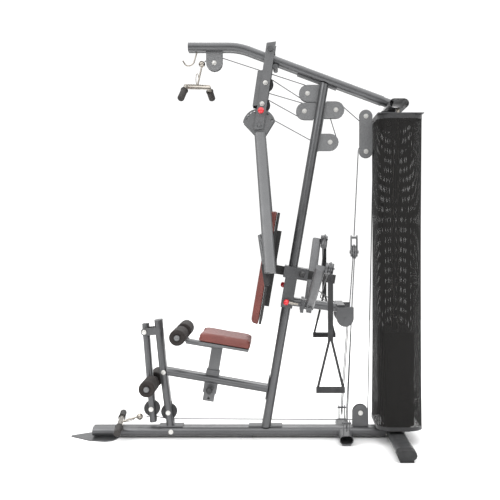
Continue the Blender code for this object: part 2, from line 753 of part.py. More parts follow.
def stack_plates(name, low, high):
    """Weight plates from one height to another, with grooves between them and holes for the guide rods."""
    outline = rectangle((STACK_X - STACK_HALF_X, -STACK_HALF_Y), (STACK_X + STACK_HALF_X, STACK_HALF_Y))
    holes = [ring((STACK_X, side * GUIDE_ROD_Y), GUIDE_ROD_RADIUS + 0.0015, 16) for side in (-1, 1)]
    holes.append(ring((STACK_X, 0), 0.014, 16))
    block = extrusion(name, [outline, *holes], high - low, "iron",
                      Matrix.Translation((0, 0, (low + high) / 2)))
    grooves = []
    for level in range(1, round((high - low) / STACK_PITCH)):
        for side in (-1, 1):
            place = Matrix.Translation((STACK_X + side * STACK_HALF_X, 0, low + level * STACK_PITCH))
            grooves.append(box("groove", (0.004, 0.4, 0.002), "iron", place))
    return cut(block, grooves) if grooves else block


def make_weights():
    resting = STACK_PLATES - LIFTED_PLATES
    split = STACK_BOTTOM_Z + resting * STACK_PITCH
    pin_z = split + STACK_PITCH / 2
    low_plates = stack_plates("weight_plates_resting", STACK_BOTTOM_Z, split)
    foot = box("foot", (0.120, 0.260, 0.0400), "iron",
               Matrix.Translation((STACK_X, 0, STACK_BOTTOM_Z - 0.0197)))
    clear = [rod("way", (STACK_X, side * GUIDE_ROD_Y, 0.05), (STACK_X, side * GUIDE_ROD_Y, 0.15),
                 GUIDE_ROD_RADIUS + 0.0015, "iron", 16) for side in (-1, 1)]
    finish_piece(cut(combine(low_plates, [foot]), clear))
    top = STACK_BOTTOM_Z + STACK_PLATES * STACK_PITCH
    lifted = stack_plates("weight_carriage", split + GAP, top)
    rod_end = top + 0.060
    stem = rod("stem", (STACK_X, 0, STACK_BOTTOM_Z + 0.010), (STACK_X, 0, rod_end), 0.0125, "iron", 16)
    collar = rod("collar", (STACK_X, 0, split + 0.020), (STACK_X, 0, top - 0.004), 0.016, "iron", 16)
    lifted = combine(lifted, [stem, collar])
    pin_way = rod("pin_way", (STACK_X - 0.090, 0, pin_z), (STACK_X - 0.020, 0, pin_z), 0.0055, "iron", 12)
    finish_piece(cut(lifted, [pin_way]))
    face = STACK_X - STACK_HALF_X
    pin = rod("selector_pin", (face - 0.006, 0, pin_z), (STACK_X - 0.022, 0, pin_z), 0.0045, "chrome", 12)
    knob = rod("pin_knob", (face - 0.016, 0, pin_z), (face - 0.004, 0, pin_z), 0.014, "red", 16)
    finish_piece(combine(pin, [knob]), (face, 0, pin_z))
    return rod_end


# Pulley blocks, pulleys and cables


PULLEYS = {
    "lat_pulley": LAT_AXLE,
    "front_upper_pulley": FRONT_UPPER_AXLE,
    "front_lower_pulley": FRONT_LOWER_AXLE,
    "rear_upper_pulley": REAR_UPPER_AXLE,
    "rear_lower_pulley": REAR_LOWER_AXLE,
    "swing_upper_pulley": SWING_UPPER_AXLE,
    "swing_lower_pulley": SWING_LOWER_AXLE,
    "stack_top_pulley": TOP_AXLE,
    "base_pulley": BASE_AXLE,
    "post_pulley": POST_AXLE,
    "lever_pulley": LEVER_AXLE,
}


def make_blocks():
    outline = capsule(BLOCK_UPPER_AXLE, BLOCK_LOWER_AXLE, 0.034)
    block = cheeks("double_pulley_block", outline, [BLOCK_UPPER_AXLE, BLOCK_LOWER_AXLE])
    wheels = [rod("wheel", (x, -0.010, z), (x, 0.010, z), PULLEY_GROOVE, "pulley", 16)
              for x, z in (BLOCK_UPPER_AXLE, BLOCK_LOWER_AXLE)]
    spacer_z = (BLOCK_UPPER_AXLE[1] + BLOCK_LOWER_AXLE[1]) / 2
    x = BLOCK_UPPER_AXLE[0]
    spacer = box("spacer", (0.030, 0.030, 0.020), "bracket", Matrix.Translation((x, 0, spacer_z)))
    finish_piece(combine(block, [*wheels, spacer]), (x, 0, spacer_z))
    centre = (FLOATING_X, FLOATING_Z)
    outline = capsule(centre, (FLOATING_X, FLOATING_Z + 0.066), 0.026)
    floating = cheeks("floating_pulley_block", outline, [centre])
    wheel = rod("wheel", (FLOATING_X, -0.010, FLOATING_Z), (FLOATING_X, 0.010, FLOATING_Z), PULLEY_GROOVE,
                "pulley", 16)
    yoke = box("yoke", (0.024, 0.030, 0.012), "bracket",
               Matrix.Translation((FLOATING_X, 0, FLOATING_Z + 0.078)))
    turn = Matrix.Translation((FLOATING_X, 0, 0)) @ Matrix.Rotation(math.radians(90), 4, "Z")
    floating = bake(combine(floating, [wheel, yoke]), turn @ Matrix.Translation((-FLOATING_X, 0, 0)))
    finish_piece(floating, (FLOATING_X, 0, FLOATING_Z))


def make_cables(stem_top):
    wheels = [(LAT_AXLE, -1), (FRONT_UPPER_AXLE, -1), (SWING_UPPER_AXLE, 1), (FRONT_LOWER_AXLE, -1)]
    wheels += [(SWING_LOWER_AXLE, 1), (REAR_LOWER_AXLE, 1), (REAR_UPPER_AXLE, -1), (BLOCK_UPPER_AXLE, 1)]
    wheels.append((TOP_AXLE, -1))
    finish_piece(side_wire("high_cable", belt(LAT_CABLE_START, wheels, (STACK_X, stem_top + 0.003))))
    wheels = [(LEVER_AXLE, 1), (POST_AXLE, 1), (BASE_AXLE, 1), (BLOCK_LOWER_AXLE, 1)]
    end = (FLOATING_X, FLOATING_Z + 0.087)
    finish_piece(side_wire("low_cable", belt(LOW_CABLE_START, wheels, end)))


def make_ends():
    """The ball stop and bar that hang on each free cable end."""
    x, z = LAT_BALL
    ball = soft_ball("lat_bar", (x, 0, z), CABLE_BALL)
    bar_centre = (Vector(LAT_BAR_BENDS[1]) + Vector(LAT_BAR_BENDS[2])) / 2
    hanger = rod("hanger", (x, 0, z - 0.010), bar_centre, HANGER_RADIUS, "chrome", 10)
    bar = bake(wire("bar", LAT_BAR_BENDS, BAR_RADIUS, "chrome", 3))
    finish_piece(combine(ball, [hanger, bar]), (x, 0, z))
    x, z = LOW_BALL
    ball = soft_ball("low_bar", (x, 0, z), CABLE_BALL)
    centre = Vector((LOW_BAR_X, 0, LOW_BAR_Z))
    hanger = rod("hanger", (x - 0.010, 0, z), centre, HANGER_RADIUS, "chrome", 10)
    turn = Matrix.Rotation(LOW_BAR_TURN, 4, "Z")
    ends = [centre + turn @ Vector((0, side * LOW_BAR_HALF, 0)) for side in (-1, 1)]
    bar = rod("bar", ends[0], ends[1], BAR_RADIUS, "chrome", 16)
    finish_piece(combine(ball, [hanger, bar]), (x, 0, z))


def soft_ball(name, centre, radius, finish="rubber"):
    shape = bmesh.new()
    bmesh.ops.create_uvsphere(shape, u_segments=14, v_segments=8, radius=radius,
                              matrix=Matrix.Translation(centre))
    mesh = bpy.data.meshes.new(name)
    shape.to_mesh(mesh)
    shape.free()
    return add(name, mesh, finish)


# Press arm


def beside(start, end, run, off):
    """A point a distance along the line from start to end, and a distance off it towards -X."""
    way = (Vector(end) - Vector(start)).normalized()
    side = Vector((-abs(way.y), way.x if way.y < 0 else -way.x))
    return tuple(Vector(start) + way * run + side * off)


def make_swing_arm():
    reach = (Vector(PRESS_PIVOT) - Vector(SWING_PIVOT)).length
    wide = SWING_HALF_WIDTH
    corners = ((-0.036, -wide), (-0.036, wide), (reach + 0.024, wide), (reach + 0.024, -wide))
    outline = [beside(SWING_PIVOT, PRESS_PIVOT, *corner) for corner in corners]
    pivot_hole = ring(SWING_PIVOT, 0.0103)
    knob = beside(SWING_PIVOT, PRESS_PIVOT, reach - SECTOR_HOLES_RADIUS, 0)
    arm = cheeks("swing_arm", outline, [SWING_UPPER_AXLE, SWING_LOWER_AXLE], "frame", [pivot_hole],
                 SWING_PLATE_Y)
    guard_reach = SWING_HALF_WIDTH + 0.026
    corners = ((0.110, 0.010), (0.110, guard_reach), (0.300, guard_reach), (0.300, 0.010))
    side_outline = [beside(SWING_PIVOT, PRESS_PIVOT, *corner) for corner in corners]
    guard = [plate(f"guard_{side}", [side_outline], 0.003, "frame",
                   side * (SWING_PLATE_Y - 0.003)) for side in (-1, 1)]
    a = Vector(beside(SWING_PIVOT, PRESS_PIVOT, 0.110, guard_reach - 0.001))
    b = Vector(beside(SWING_PIVOT, PRESS_PIVOT, 0.300, guard_reach - 0.001))
    guard_matrix = frame_matrix(((a.x + b.x) / 2, 0, (a.y + b.y) / 2), (a.x - b.x, 0, a.y - b.y))
    guard.append(box("guard", (2 * SWING_PLATE_Y - 0.004, 0.003, (a - b).length - 0.001), "frame",
                     guard_matrix))
    pivot = cross_rod("press_axle", PRESS_PIVOT, 0.068, 0.0090, "frame", ROUND_STEPS)
    arm = combine(arm, [*guard, pivot])
    hole = rod("knob_hole", (knob[0], -0.070, knob[1]), (knob[0], -0.050, knob[1]), 0.0065, "frame", 12)
    finish_piece(cut(arm, [hole]), (SWING_PIVOT[0], 0, SWING_PIVOT[1]))
    x, z = knob
    pin = rod("press_knob", (x, PRESS_PIN_TIP, z), (x, -0.080, z), 0.0060, "chrome", 12)
    collar = rod("collar", (x, -0.0590, z), (x, -0.072, z), 0.0115, "frame", 12)
    ball = soft_ball("ball", (x, -0.090, z), PRESS_KNOB_RADIUS, "red")
    finish_piece(combine(pin, [collar, ball]), (x, PRESS_PIN_TIP, z))


def make_press_arm():
    x, z = PRESS_PIVOT
    fan = arc(PRESS_PIVOT, SECTOR_RADIUS, *SECTOR_SPAN, 14) + [(x - 0.021, z - 0.056), (x + 0.032, z - 0.056)]
    loops = [fan, ring(PRESS_PIVOT, 0.0093)]
    latched = math.degrees(math.atan2(SWING_PIVOT[1] - z, SWING_PIVOT[0] - x))
    for angle in (0, *SECTOR_STEPS):
        loops.append(ring(arc(PRESS_PIVOT, SECTOR_HOLES_RADIUS, latched + angle, 0, 1)[0], 0.0070, 10))
    pieces = [plate(f"sector_{side}", loops, 0.008, "frame", side * SECTOR_Y) for side in (-1, 1)]
    for side in (-1, 1):
        top = Vector((PRESS_TOP[0], side * PRESS_TOP[1], PRESS_TOP[2]))
        bottom = Vector((PRESS_BOTTOM[0], side * PRESS_BOTTOM[1], PRESS_BOTTOM[2]))
        tube = oval_tube(f"tube_{side}", top, bottom, PRESS_TUBE_WIDTH, PRESS_TUBE_DEPTH, wall=0,
                         side=(1, 0, 0))
        pieces.append(tube)
        grip_low = Vector((GRIP_BOTTOM[0], side * GRIP_BOTTOM[1], GRIP_BOTTOM[2]))
        grip_high = Vector((GRIP_TOP[0], side * GRIP_TOP[1], GRIP_TOP[2]))
        way = (grip_high - grip_low).normalized()
        pieces.append(rod(f"bar_{side}", grip_low + 0.004 * way, grip_high - 0.004 * way, GRIP_BAR_RADIUS,
                          "frame", 16))
        for share, run in ((0.917, 0.135), (0.765, 0.240)):
            joined = top + (bottom - top) * share
            pieces.append(rod(f"stub_{side}_{run}", grip_low + run * way, joined, GRIP_BAR_RADIUS, "frame",
                              12))
    brace_z = 1.592
    down = (PRESS_TOP[2] - brace_z) / (PRESS_TOP[2] - PRESS_BOTTOM[2])
    y = PRESS_TOP[1] + (PRESS_BOTTOM[1] - PRESS_TOP[1]) * down
    brace_x = PRESS_TOP[0] + 0.004
    pieces.append(rod("brace", (brace_x, -y, brace_z), (brace_x, y, brace_z), 0.0125, "frame", 16))
    finish_piece(combine(pieces[0], pieces[1:]), (x, 0, z)).name = "press_arm"
    for name, side in (("press_grip_left", -1), ("press_grip_right", 1)):
        low = Vector((GRIP_BOTTOM[0], side * GRIP_BOTTOM[1], GRIP_BOTTOM[2]))
        high = Vector((GRIP_TOP[0], side * GRIP_TOP[1], GRIP_TOP[2]))
        way = (high - low).normalized()
        sleeve = oval_tube(name, low, low + 0.112 * way, 2 * GRIP_RADIUS, 2 * GRIP_RADIUS, "rubber", 0.0037)
        finish_piece(sleeve)


# Leg developer


def make_front_post():
    shin = oval_tube("front_post", (*POST_KNEE[:1], 0, POST_KNEE[1]),
                     (*POST_FOOT[:1], 0, POST_FOOT[1] - 0.02),
                     SMALL_OVAL_WIDTH, SMALL_OVAL_HEIGHT)
    thigh = oval_tube("thigh", (POST_TOP[0], 0, POST_TOP[1]), (POST_KNEE[0] + 0.001, 0, POST_KNEE[1] - 0.012),
                      SMALL_OVAL_WIDTH, SMALL_OVAL_HEIGHT, wall=0)
    beam_top = BEAM_Z + OVAL_HEIGHT / 2 + GAP
    below = box("below", (0.4, 0.4, 0.2), "frame", Matrix.Translation((POST_FOOT[0], 0, beam_top - 0.1)))
    pulley_way = box("pulley_way", (0.140, 0.030, 0.110), "frame",
                     Matrix.Translation((POST_AXLE[0] + 0.010, 0, 0.137)))
    post = cut(combine(shin, [thigh]), [below, pulley_way])
    axle = cross_rod("axle", POST_AXLE, 0.040, BOLT_RADIUS, "frame")
    foot = box("foot", (0.130, 0.070, 0.006), "frame",
               Matrix.Translation((POST_FOOT[0], 0, beam_top + 0.003)))
    x, z = LEVER_PIVOT
    ears = [plate(f"ear_{side}", [capsule((x, z), (POST_TOP[0] - 0.002, z + 0.006), 0.020)], 0.005, "frame",
                  side * (LEVER_WIDTH / 2 + 0.0035)) for side in (-1, 1)]
    pin = cross_rod("pin", LEVER_PIVOT, 0.044, 0.0080, "frame", ROUND_STEPS)
    finish_piece(combine(post, [axle, foot, *ears, pin]))


def make_leg_lever():
    top = (LEVER_TOP[0], 0, LEVER_TOP[1])
    foot = (LEVER_FOOT[0], 0, LEVER_FOOT[1])
    lever = oval_tube("leg_lever", top, foot, LEVER_WIDTH, LEVER_HEIGHT, wall=0)
    x, z = LEVER_AXLE
    fork = box("fork", (0.120, 0.026, 0.110), "frame", Matrix.Translation((x, 0, z - 0.010)))
    fork_mid = rod("pivot_way", (LEVER_PIVOT[0], -0.05, LEVER_PIVOT[1]),
                   (LEVER_PIVOT[0], 0.05, LEVER_PIVOT[1]),
                   0.0083, "frame", ROUND_STEPS)
    lever = cut(lever, [fork, fork_mid])
    axles = [cross_rod("pulley_axle", LEVER_AXLE, 0.036, BOLT_RADIUS, "frame")]
    reach = ROLLER_INNER_Y + ROLLER_LENGTH + 0.006
    axles.append(cross_rod("roller_axle", LEG_ROLLER, reach, ROLLER_BORE - 0.0008, "frame", 16))
    for side in (-1, 1):
        start = (LEG_ROLLER[0], side * (reach - 0.0045), LEG_ROLLER[1])
        end = (LEG_ROLLER[0], side * reach, LEG_ROLLER[1])
        axles.append(rod(f"cap_{side}", start, end, 0.0150, "frame", 16))
    collar = cross_rod("collar", LEG_ROLLER, ROLLER_INNER_Y - 0.002, 0.021, "frame", 16)
    finish_piece(combine(lever, [*axles, collar]), (LEVER_PIVOT[0], 0, LEVER_PIVOT[1]))


def make_rollers():
    for kind, (x, z) in (("leg_roller", LEG_ROLLER), ("seat_roller", SEAT_ROLLER)):
        for name, side in (("left", -1), ("right", 1)):
            half = ROLLER_LENGTH / 2
            edge = ROLLER_RADIUS - 0.006
            profile = [(edge, half), (ROLLER_RADIUS, half - 0.006), (ROLLER_RADIUS, 0.006 - half),
                       (edge, -half)]
            profile += [(ROLLER_BORE, -half), (ROLLER_BORE, half)]
            centre = (x, side * (ROLLER_INNER_Y + half), z)
            roller = turned(f"{kind}_{name}", profile, "rubber", frame_matrix(centre, (0, 1, 0), (1, 0, 0)))
            finish_piece(roller, centre)


# Seat and backrest


def make_seat_rail():
    x, z = RAIL_CROSSING
    front = Vector((RAIL_FRONT_X - 0.030, 0, z + (x - RAIL_FRONT_X + 0.030) * RAIL_SLOPE))
    rear_x = upright_x(0.2685) - 0.020
    rear = Vector((rear_x, 0, z - (rear_x - x) * RAIL_SLOPE))
    rail = oval_tube("seat_rail", front, rear, RAIL_WIDTH, SMALL_OVAL_HEIGHT, wall=0)
    shin = Vector((POST_FOOT[0] - POST_KNEE[0], 0, POST_FOOT[1] - POST_KNEE[1]))
    square = Vector((-shin.z, 0, shin.x)).normalized()
    post_face = Vector((POST_KNEE[0], 0, POST_KNEE[1])) + square * (SMALL_OVAL_HEIGHT / 2 + GAP)
    front_cut = box("front_cut", (0.9, 0.2, 0.2), "frame", frame_matrix(post_face - square * 0.1, square))
    rear_cut = leaning_box("rear_cut", (0.2, 0.2, 0.9), "frame",
                           on_upright(0.2685, 0.1 - OVAL_HEIGHT / 2 - GAP))
    rail = cut(rail, [front_cut, rear_cut])
    centre = Vector((x, 0, z))
    sleeve = leaning_box("sleeve", (SEAT_POST_DEPTH + 0.012, SEAT_POST_WIDTH + 0.014, SEAT_SLEEVE), "frame",
                         centre - ALONG * 0.0125)
    flange = leaning_box("flange", (0.005, 0.070, 0.120), "frame",
                         on_upright(0.262, -OVAL_HEIGHT / 2 - GAP - 0.0025))
    inner = leaning_box("inner", (SEAT_POST_DEPTH + 0.0012, SEAT_POST_WIDTH + 0.0012, 0.8), "frame", centre)
    knob = seat_knob_place()
    way = rod("way", knob + Vector((0, 0.020, 0)), knob - Vector((0, 0.060, 0)), 0.0065, "frame", 12)
    finish_piece(cut(combine(rail, [sleeve, flange]), [inner, way]))


def seat_knob_place():
    """Where the seat knob's pin enters the side of the sleeve."""
    x, z = RAIL_CROSSING
    return Vector((x, -SEAT_POST_WIDTH / 2, z)) - ALONG * 0.055


def pull_knob(name, tip, way, finish="red", radius=PRESS_KNOB_RADIUS, pin=0.0060, reach=0.034):
    """A spring pin with a ball: its tip goes in, and it pulls out along way."""
    tip = Vector(tip)
    way = Vector(way)
    stem = rod(name, tip, tip + way * reach, pin, "chrome", 12)
    ball = soft_ball("ball", tip + way * (reach + radius * 0.6), radius, finish)
    return finish_piece(combine(stem, [ball]), tip)


def make_seat():
    surface = Vector((SEAT_TOP_FRONT[0], 0, SEAT_TOP_FRONT[1]))
    middle = surface + ACROSS * SEAT_LENGTH / 2
    cushion_at = leaning_matrix(middle - ALONG * SEAT_THICKNESS / 2)
    cushion = soft_block("seat_cushion", (SEAT_LENGTH, SEAT_WIDTH, SEAT_THICKNESS), "vinyl", cushion_at,
                         0.012)
    board_at = leaning_matrix(middle - ALONG * (SEAT_THICKNESS + GAP + BOARD / 2))
    board = box("seat_post", (SEAT_LENGTH - 0.02, SEAT_WIDTH - 0.02, BOARD), "board", board_at)
    finish_piece(cushion)
    x, z = RAIL_CROSSING
    crossing = Vector((x, 0, z))
    under = (middle - crossing).dot(ALONG) - SEAT_THICKNESS - BOARD
    post_low = -0.5 * 0.150 - 0.045
    size = (SEAT_POST_DEPTH, SEAT_POST_WIDTH, under - post_low + 0.004)
    post = box("post", size, "frame", leaning_matrix(crossing + ALONG * (under + post_low + 0.004) / 2))
    roller = Vector((SEAT_ROLLER[0], 0, SEAT_ROLLER[1]))
    carrier_low = crossing + ALONG * (under - 0.016)
    along_seat = (roller - carrier_low).dot(ACROSS)
    arm = oval_tube("arm", carrier_low + ACROSS * 0.012, carrier_low + ACROSS * (along_seat + 0.030), 0.050,
                    0.028, wall=0)
    rise = oval_tube("rise", carrier_low + ACROSS * (along_seat + 0.040), roller, 0.046, 0.026, wall=0)
    reach = ROLLER_INNER_Y + ROLLER_LENGTH + 0.006
    axles = [cross_rod("roller_axle", SEAT_ROLLER, reach, ROLLER_BORE - 0.0008, "frame", 16)]
    axles.append(cross_rod("collar", SEAT_ROLLER, ROLLER_INNER_Y - 0.002, 0.021, "frame", 16))
    for side in (-1, 1):
        start = (roller.x, side * (reach - 0.0045), roller.z)
        axles.append(rod(f"cap_{side}", start, (roller.x, side * reach, roller.z), 0.0150, "frame", 16))
    board = combine(board, [post, arm, rise, *axles])
    knob = seat_knob_place()
    hole_in = knob + Vector((0, 0.020, 0))
    holes = []
    for step in range(-3, 3):
        at = ALONG * (SEAT_STEP * step)
        holes.append(rod("hole", hole_in + at, knob + at - Vector((0, 0.01, 0)), 0.0065, "frame", 12))
    finish_piece(cut(board, holes), crossing)
    pull_knob("seat_knob", knob - Vector((0, PIN_CLEAR, 0)), (0, -1, 0), reach=0.030, radius=0.019)


def make_backrest():
    middle = Vector((BACKREST_MIDDLE[0], 0, BACKREST_MIDDLE[1]))
    size = (BACKREST_THICKNESS, BACKREST_WIDTH, BACKREST_LENGTH)
    cushion = soft_block("backrest_cushion", size, "vinyl", leaning_matrix(middle), 0.012)
    finish_piece(cushion)
    board_behind = BACKREST_THICKNESS / 2 + GAP + BOARD / 2
    board = box("backrest_frame", (BOARD, BACKREST_WIDTH - 0.02, BACKREST_LENGTH - 0.02), "board",
                leaning_matrix(middle + ACROSS * board_behind))
    channel_behind = board_behind + BOARD / 2 + BACK_CHANNEL / 2 - 0.001
    tube_height = (Vector((upright_x(BACK_TUBE_Z), 0, BACK_TUBE_Z)) - middle).dot(ALONG)
    channel = box("channel", (BACK_CHANNEL, 0.050, BACK_CHANNEL_LENGTH), "frame",
                  leaning_matrix(middle + ACROSS * channel_behind + ALONG * tube_height * 0.5))
    start = middle + ACROSS * channel_behind + ALONG * tube_height
    end = on_upright(BACK_TUBE_Z, 0.235)
    long = (end - start).length
    tube = box("tube", (long, 2 * BACK_TUBE_HALF_Y, BACK_TUBE_HEIGHT), "frame",
               leaning_matrix((start + end) / 2))
    frame = combine(board, [channel, tube])
    knob = on_upright(BACK_TUBE_Z, 0.052, 0, -BACK_TUBE_HALF_Y)
    hole = rod("hole", knob + Vector((0, 0.010, 0)), knob - Vector((0, 0.01, 0)), 0.0065, "frame", 12)
    finish_piece(cut(frame, [hole]), end)
    pull_knob("backrest_knob", knob - Vector((0, PIN_CLEAR, 0)), (0, -1, 0), reach=0.055)


# Arm carriage and cable arms


def make_carriage():
    centre = on_upright(0.795)
    half_y = OVAL_WIDTH / 2 + GAP
    plates = []
    for side in (-1, 1):
        at = leaning_matrix(centre + Vector((0, side * (half_y + 0.003), 0)))
        plates.append(box(f"side_{side}", (0.062, 0.006, 0.190), "frame", at))
    behind = OVAL_HEIGHT / 2 + GAP
    for off in (-behind - 0.003, behind + 0.003):
        plates.append(box("clamp", (0.006, 2 * half_y + 0.010, 0.186), "frame",
                          leaning_matrix(centre + ACROSS * off)))
    sleeve_at = on_upright(BACK_TUBE_Z, 0.020)
    plates.append(box("sleeve", (0.130, 2 * half_y + 0.018, 0.062), "frame", leaning_matrix(sleeve_at)))
    beam_start = Vector((upright_x(CARRIAGE_BEAM_Z) + behind + 0.004, 0, CARRIAGE_BEAM_Z))
    beam_end = beam_start + Vector((CARRIAGE_BEAM_END - 0.020, 0, -0.035))
    beam = oval_tube("beam", beam_start, beam_end, 0.076, 0.046, wall=0)
    x, z = MID_HIGH_AXLE
    d_plates = []
    for side in (-1, 1):
        outline = [(x + 0.044, CARRIAGE_BEAM_Z - 0.018), (x - 0.044, CARRIAGE_BEAM_Z - 0.018)]
        outline += arc(MID_HIGH_AXLE, 0.044, 180, 360, 14)
        for off in (-0.014, 0.014):
            d_plates.append(plate(f"d_{side}_{off}", [outline], 0.004, "frame", side * MID_HIGH_Y + off))
        d_plates.append(rod(f"d_wheel_{side}", (x, side * MID_HIGH_Y - 0.010, z),
                            (x, side * MID_HIGH_Y + 0.010, z),
                            PULLEY_GROOVE - 0.008, "pulley", 16))
        d_plates.append(rod(f"d_axle_{side}", (x, side * MID_HIGH_Y - 0.020, z),
                            (x, side * MID_HIGH_Y + 0.020, z),
                            BOLT_RADIUS, "frame", 10))
    bridge = box("bridge", (0.040, 2 * (MID_HIGH_Y - 0.013), 0.030), "frame",
                 Matrix.Translation((x - 0.020, 0, CARRIAGE_BEAM_Z - 0.022)))
    pivots = []
    for side in (-1, 1):
        base = on_upright(ARM_PIVOT_Z, ARM_PIVOT_BEHIND, 0, side * ARM_PIVOT_Y)
        lug = on_upright(ARM_PIVOT_Z, ARM_PIVOT_BEHIND - 0.037, 0, side * ARM_PIVOT_Y)
        plate_at = on_upright(ARM_PIVOT_Z, ARM_PIVOT_BEHIND - 0.037, 0, side * (ARM_PIVOT_Y - 0.010))
        pivots.append(box(f"lug_{side}", (0.016, 0.078, 0.068), "frame", leaning_matrix(plate_at)))
        pivots.append(rod(f"washer_{side}", lug, base - ACROSS * 0.0140, 0.0155, "frame", 16))
        pivots.append(rod(f"pin_{side}", lug, base + ACROSS * 0.020, 0.0100, "frame", 16))
        pivots.append(rod(f"nut_{side}", base + ACROSS * 0.0145, base + ACROSS * 0.021, 0.016, "frame", 6))
    carriage = combine(plates[0], [*plates[1:], beam, bridge, *d_plates, *pivots])
    carriage.name = "arm_carriage"
    knob = on_upright(BACK_TUBE_Z, 0.052, 0, -BACK_TUBE_HALF_Y)
    way = rod("way", knob + Vector((0, 0.005, 0)), knob - Vector((0, 0.060, 0)), 0.0065, "frame", 12)
    room = 2 * GAP + 0.0004
    bore = oval_tube("bore", on_upright(0.60), on_upright(1.00), OVAL_WIDTH + room, OVAL_HEIGHT + room,
                     wall=0)
    finish_piece(cut(carriage, [bore, back_tube_cutter(), way]), on_upright(0.795))


def arm_matrix(side, rise):
    """Local Z runs up a cable arm from its pivot, and local X is the pivot's axis."""
    pivot = on_upright(ARM_PIVOT_Z, ARM_PIVOT_BEHIND, 0, side * ARM_PIVOT_Y)
    up = (ALONG * math.sin(rise) + Vector((0, side, 0)) * math.cos(rise)).normalized()
    return frame_matrix(pivot, up, ACROSS)


def make_cable_arm(label, side, rise):
    pivot_frame = arm_matrix(side, rise)
    pivot = pivot_frame.translation
    up = pivot_frame.col[2].to_3d()
    tube = oval_tube(f"cable_arm_{label}", pivot + up * 0.018, pivot + up * (ARM_WHEEL - 0.012), ARM_WIDTH,
                     ARM_DEPTH,
                     wall=0, side=ACROSS)
    eye = rod("eye", pivot - ACROSS * 0.0135, pivot + ACROSS * 0.0135, 0.032, "frame", ROUND_STEPS)
    wheel = pivot + up * ARM_WHEEL + ACROSS * ARM_WHEEL_BEHIND
    head = rod("head", wheel - up * 0.060, wheel - up * 0.020, 0.019, "bracket", 16)
    welded = [eye, head, rod("wheel", wheel - ACROSS * 0.009, wheel + ACROSS * 0.009, 0.026, "pulley", 16)]
    welded.append(rod("axle", wheel - ACROSS * 0.021, wheel + ACROSS * 0.021, BOLT_RADIUS, "bracket", 10))
    for way, thick in ((-1, 0.0105), (1, 0.004)):
        cheek = wheel - up * 0.006 + ACROSS * 0.012 * way
        welded.append(rod(f"cheek_{way}", cheek, cheek + ACROSS * thick * way, 0.028, "bracket", 16))
    arm = combine(tube, welded)
    hole = rod("hole", pivot - ACROSS * 0.05, pivot + ACROSS * 0.05, 0.0103, "frame", 16)
    finish_piece(cut(arm, [hole]), pivot)
    return wheel


def make_handle(label, side, wheel):
    """A ball stop, a strap, two webbing sides and a grip, hanging below the arm's end pulley."""
    top = wheel + Vector((0, side * ARM_WRAP, -BALL_BELOW))
    ball = soft_ball(f"handle_{label}", top, 0.015)
    strap_low = top - Vector((0, 0, HANDLE_STRAP))
    strap = box("strap", (0.025, 0.005, HANDLE_STRAP), "rubber", Matrix.Translation((top + strap_low) / 2))
    grip_at = top - Vector((0, 0, HANDLE_DROP))
    half = Vector((HANDLE_GRIP / 2, 0, 0))
    grip = rod("grip", grip_at - half, grip_at + half, 0.0155, "rubber", 14)
    webs = []
    for way in (-1, 1):
        low = grip_at + half * 0.92 * way
        high = strap_low + Vector((way * 0.004, 0, 0.010))
        webs.append(oval_tube(f"web_{way}", low, high, 0.012, 0.005, "rubber", 0, (1, 0, 0)))
    finish_piece(combine(ball, [strap, grip, *webs]), top)


def turn_about(centre, first, second, radius, angles):
    """Points on an arc about a centre, at angles in degrees from first towards second."""
    turns = [math.radians(angle) for angle in angles]
    return [Vector(centre) + radius * (math.cos(turn) * first + math.sin(turn) * second) for turn in turns]


def arm_cable_half(side, rise):
    """Half of the arms' cable: from a handle over its arm's end pulley, down the arm, over the carriage's
    wheel, under the mid foot's wheel and up to the floating pulley."""
    pivot_frame = arm_matrix(side, rise)
    pivot = pivot_frame.translation
    up = pivot_frame.col[2].to_3d()
    over = (ALONG * math.cos(rise) - Vector((0, side, 0)) * math.sin(rise)).normalized()
    across_y = Vector((0, side, 0))
    high = Vector((0, 0, 1))
    behind = ACROSS * ARM_WHEEL_BEHIND
    wheel = pivot + up * ARM_WHEEL + behind
    points = [wheel + across_y * ARM_WRAP + Vector((0, 0, 0.0155 - BALL_BELOW))]
    points += turn_about(wheel, across_y, ALONG, ARM_WRAP,
                         [share * (90 + math.degrees(rise)) / 6 for share in range(7)])
    points.append(pivot + up * 0.080 + over * ARM_WRAP + behind)
    middle = Vector((MID_HIGH_AXLE[0], side * MID_HIGH_Y, MID_HIGH_AXLE[1]))
    points += turn_about(middle, Vector((1, 0, 0)), high, MID_WRAP, (98, 70, 45, 20, 0))
    base = Vector((MID_FOOT_X, side * MID_BASE_Y, MID_BASE_Z))
    points += turn_about(base, across_y, -high, CABLE_WRAP, (-10, 25, 60, 90, 120, 155, 188))
    floating = Vector((FLOATING_X, 0, FLOATING_Z))
    points += turn_about(floating, across_y, high, CABLE_WRAP, (-6, 20, 45, 70))
    return points


def make_arm_cable():
    left = arm_cable_half(-1, ARM_RISE_LEFT)
    right = arm_cable_half(1, ARM_RISE_RIGHT)
    top = Vector((FLOATING_X, 0, FLOATING_Z + CABLE_WRAP))
    finish_piece(wire("arm_cable", [*left, top, *right[::-1]], CABLE_RADIUS, "cable"))


# The whole machine, piece by piece

make_base_beam()
make_front_foot_plate()
make_rear_foot()
make_upright()
make_boom()
make_pulley_brackets()
make_stack_frame()
make_shroud()
make_blocks()
make_cables(make_weights())
for pulley_name, pulley_axle in PULLEYS.items():
    pulley(pulley_name, pulley_axle)
make_ends()
make_swing_arm()
make_press_arm()
make_front_post()
make_leg_lever()
make_rollers()
make_seat_rail()
make_seat()
make_backrest()
make_carriage()
for arm_label, arm_side, arm_rise in (("left", -1, ARM_RISE_LEFT), ("right", 1, ARM_RISE_RIGHT)):
    make_handle(arm_label, arm_side, make_cable_arm(arm_label, arm_side, arm_rise))
make_arm_cable()
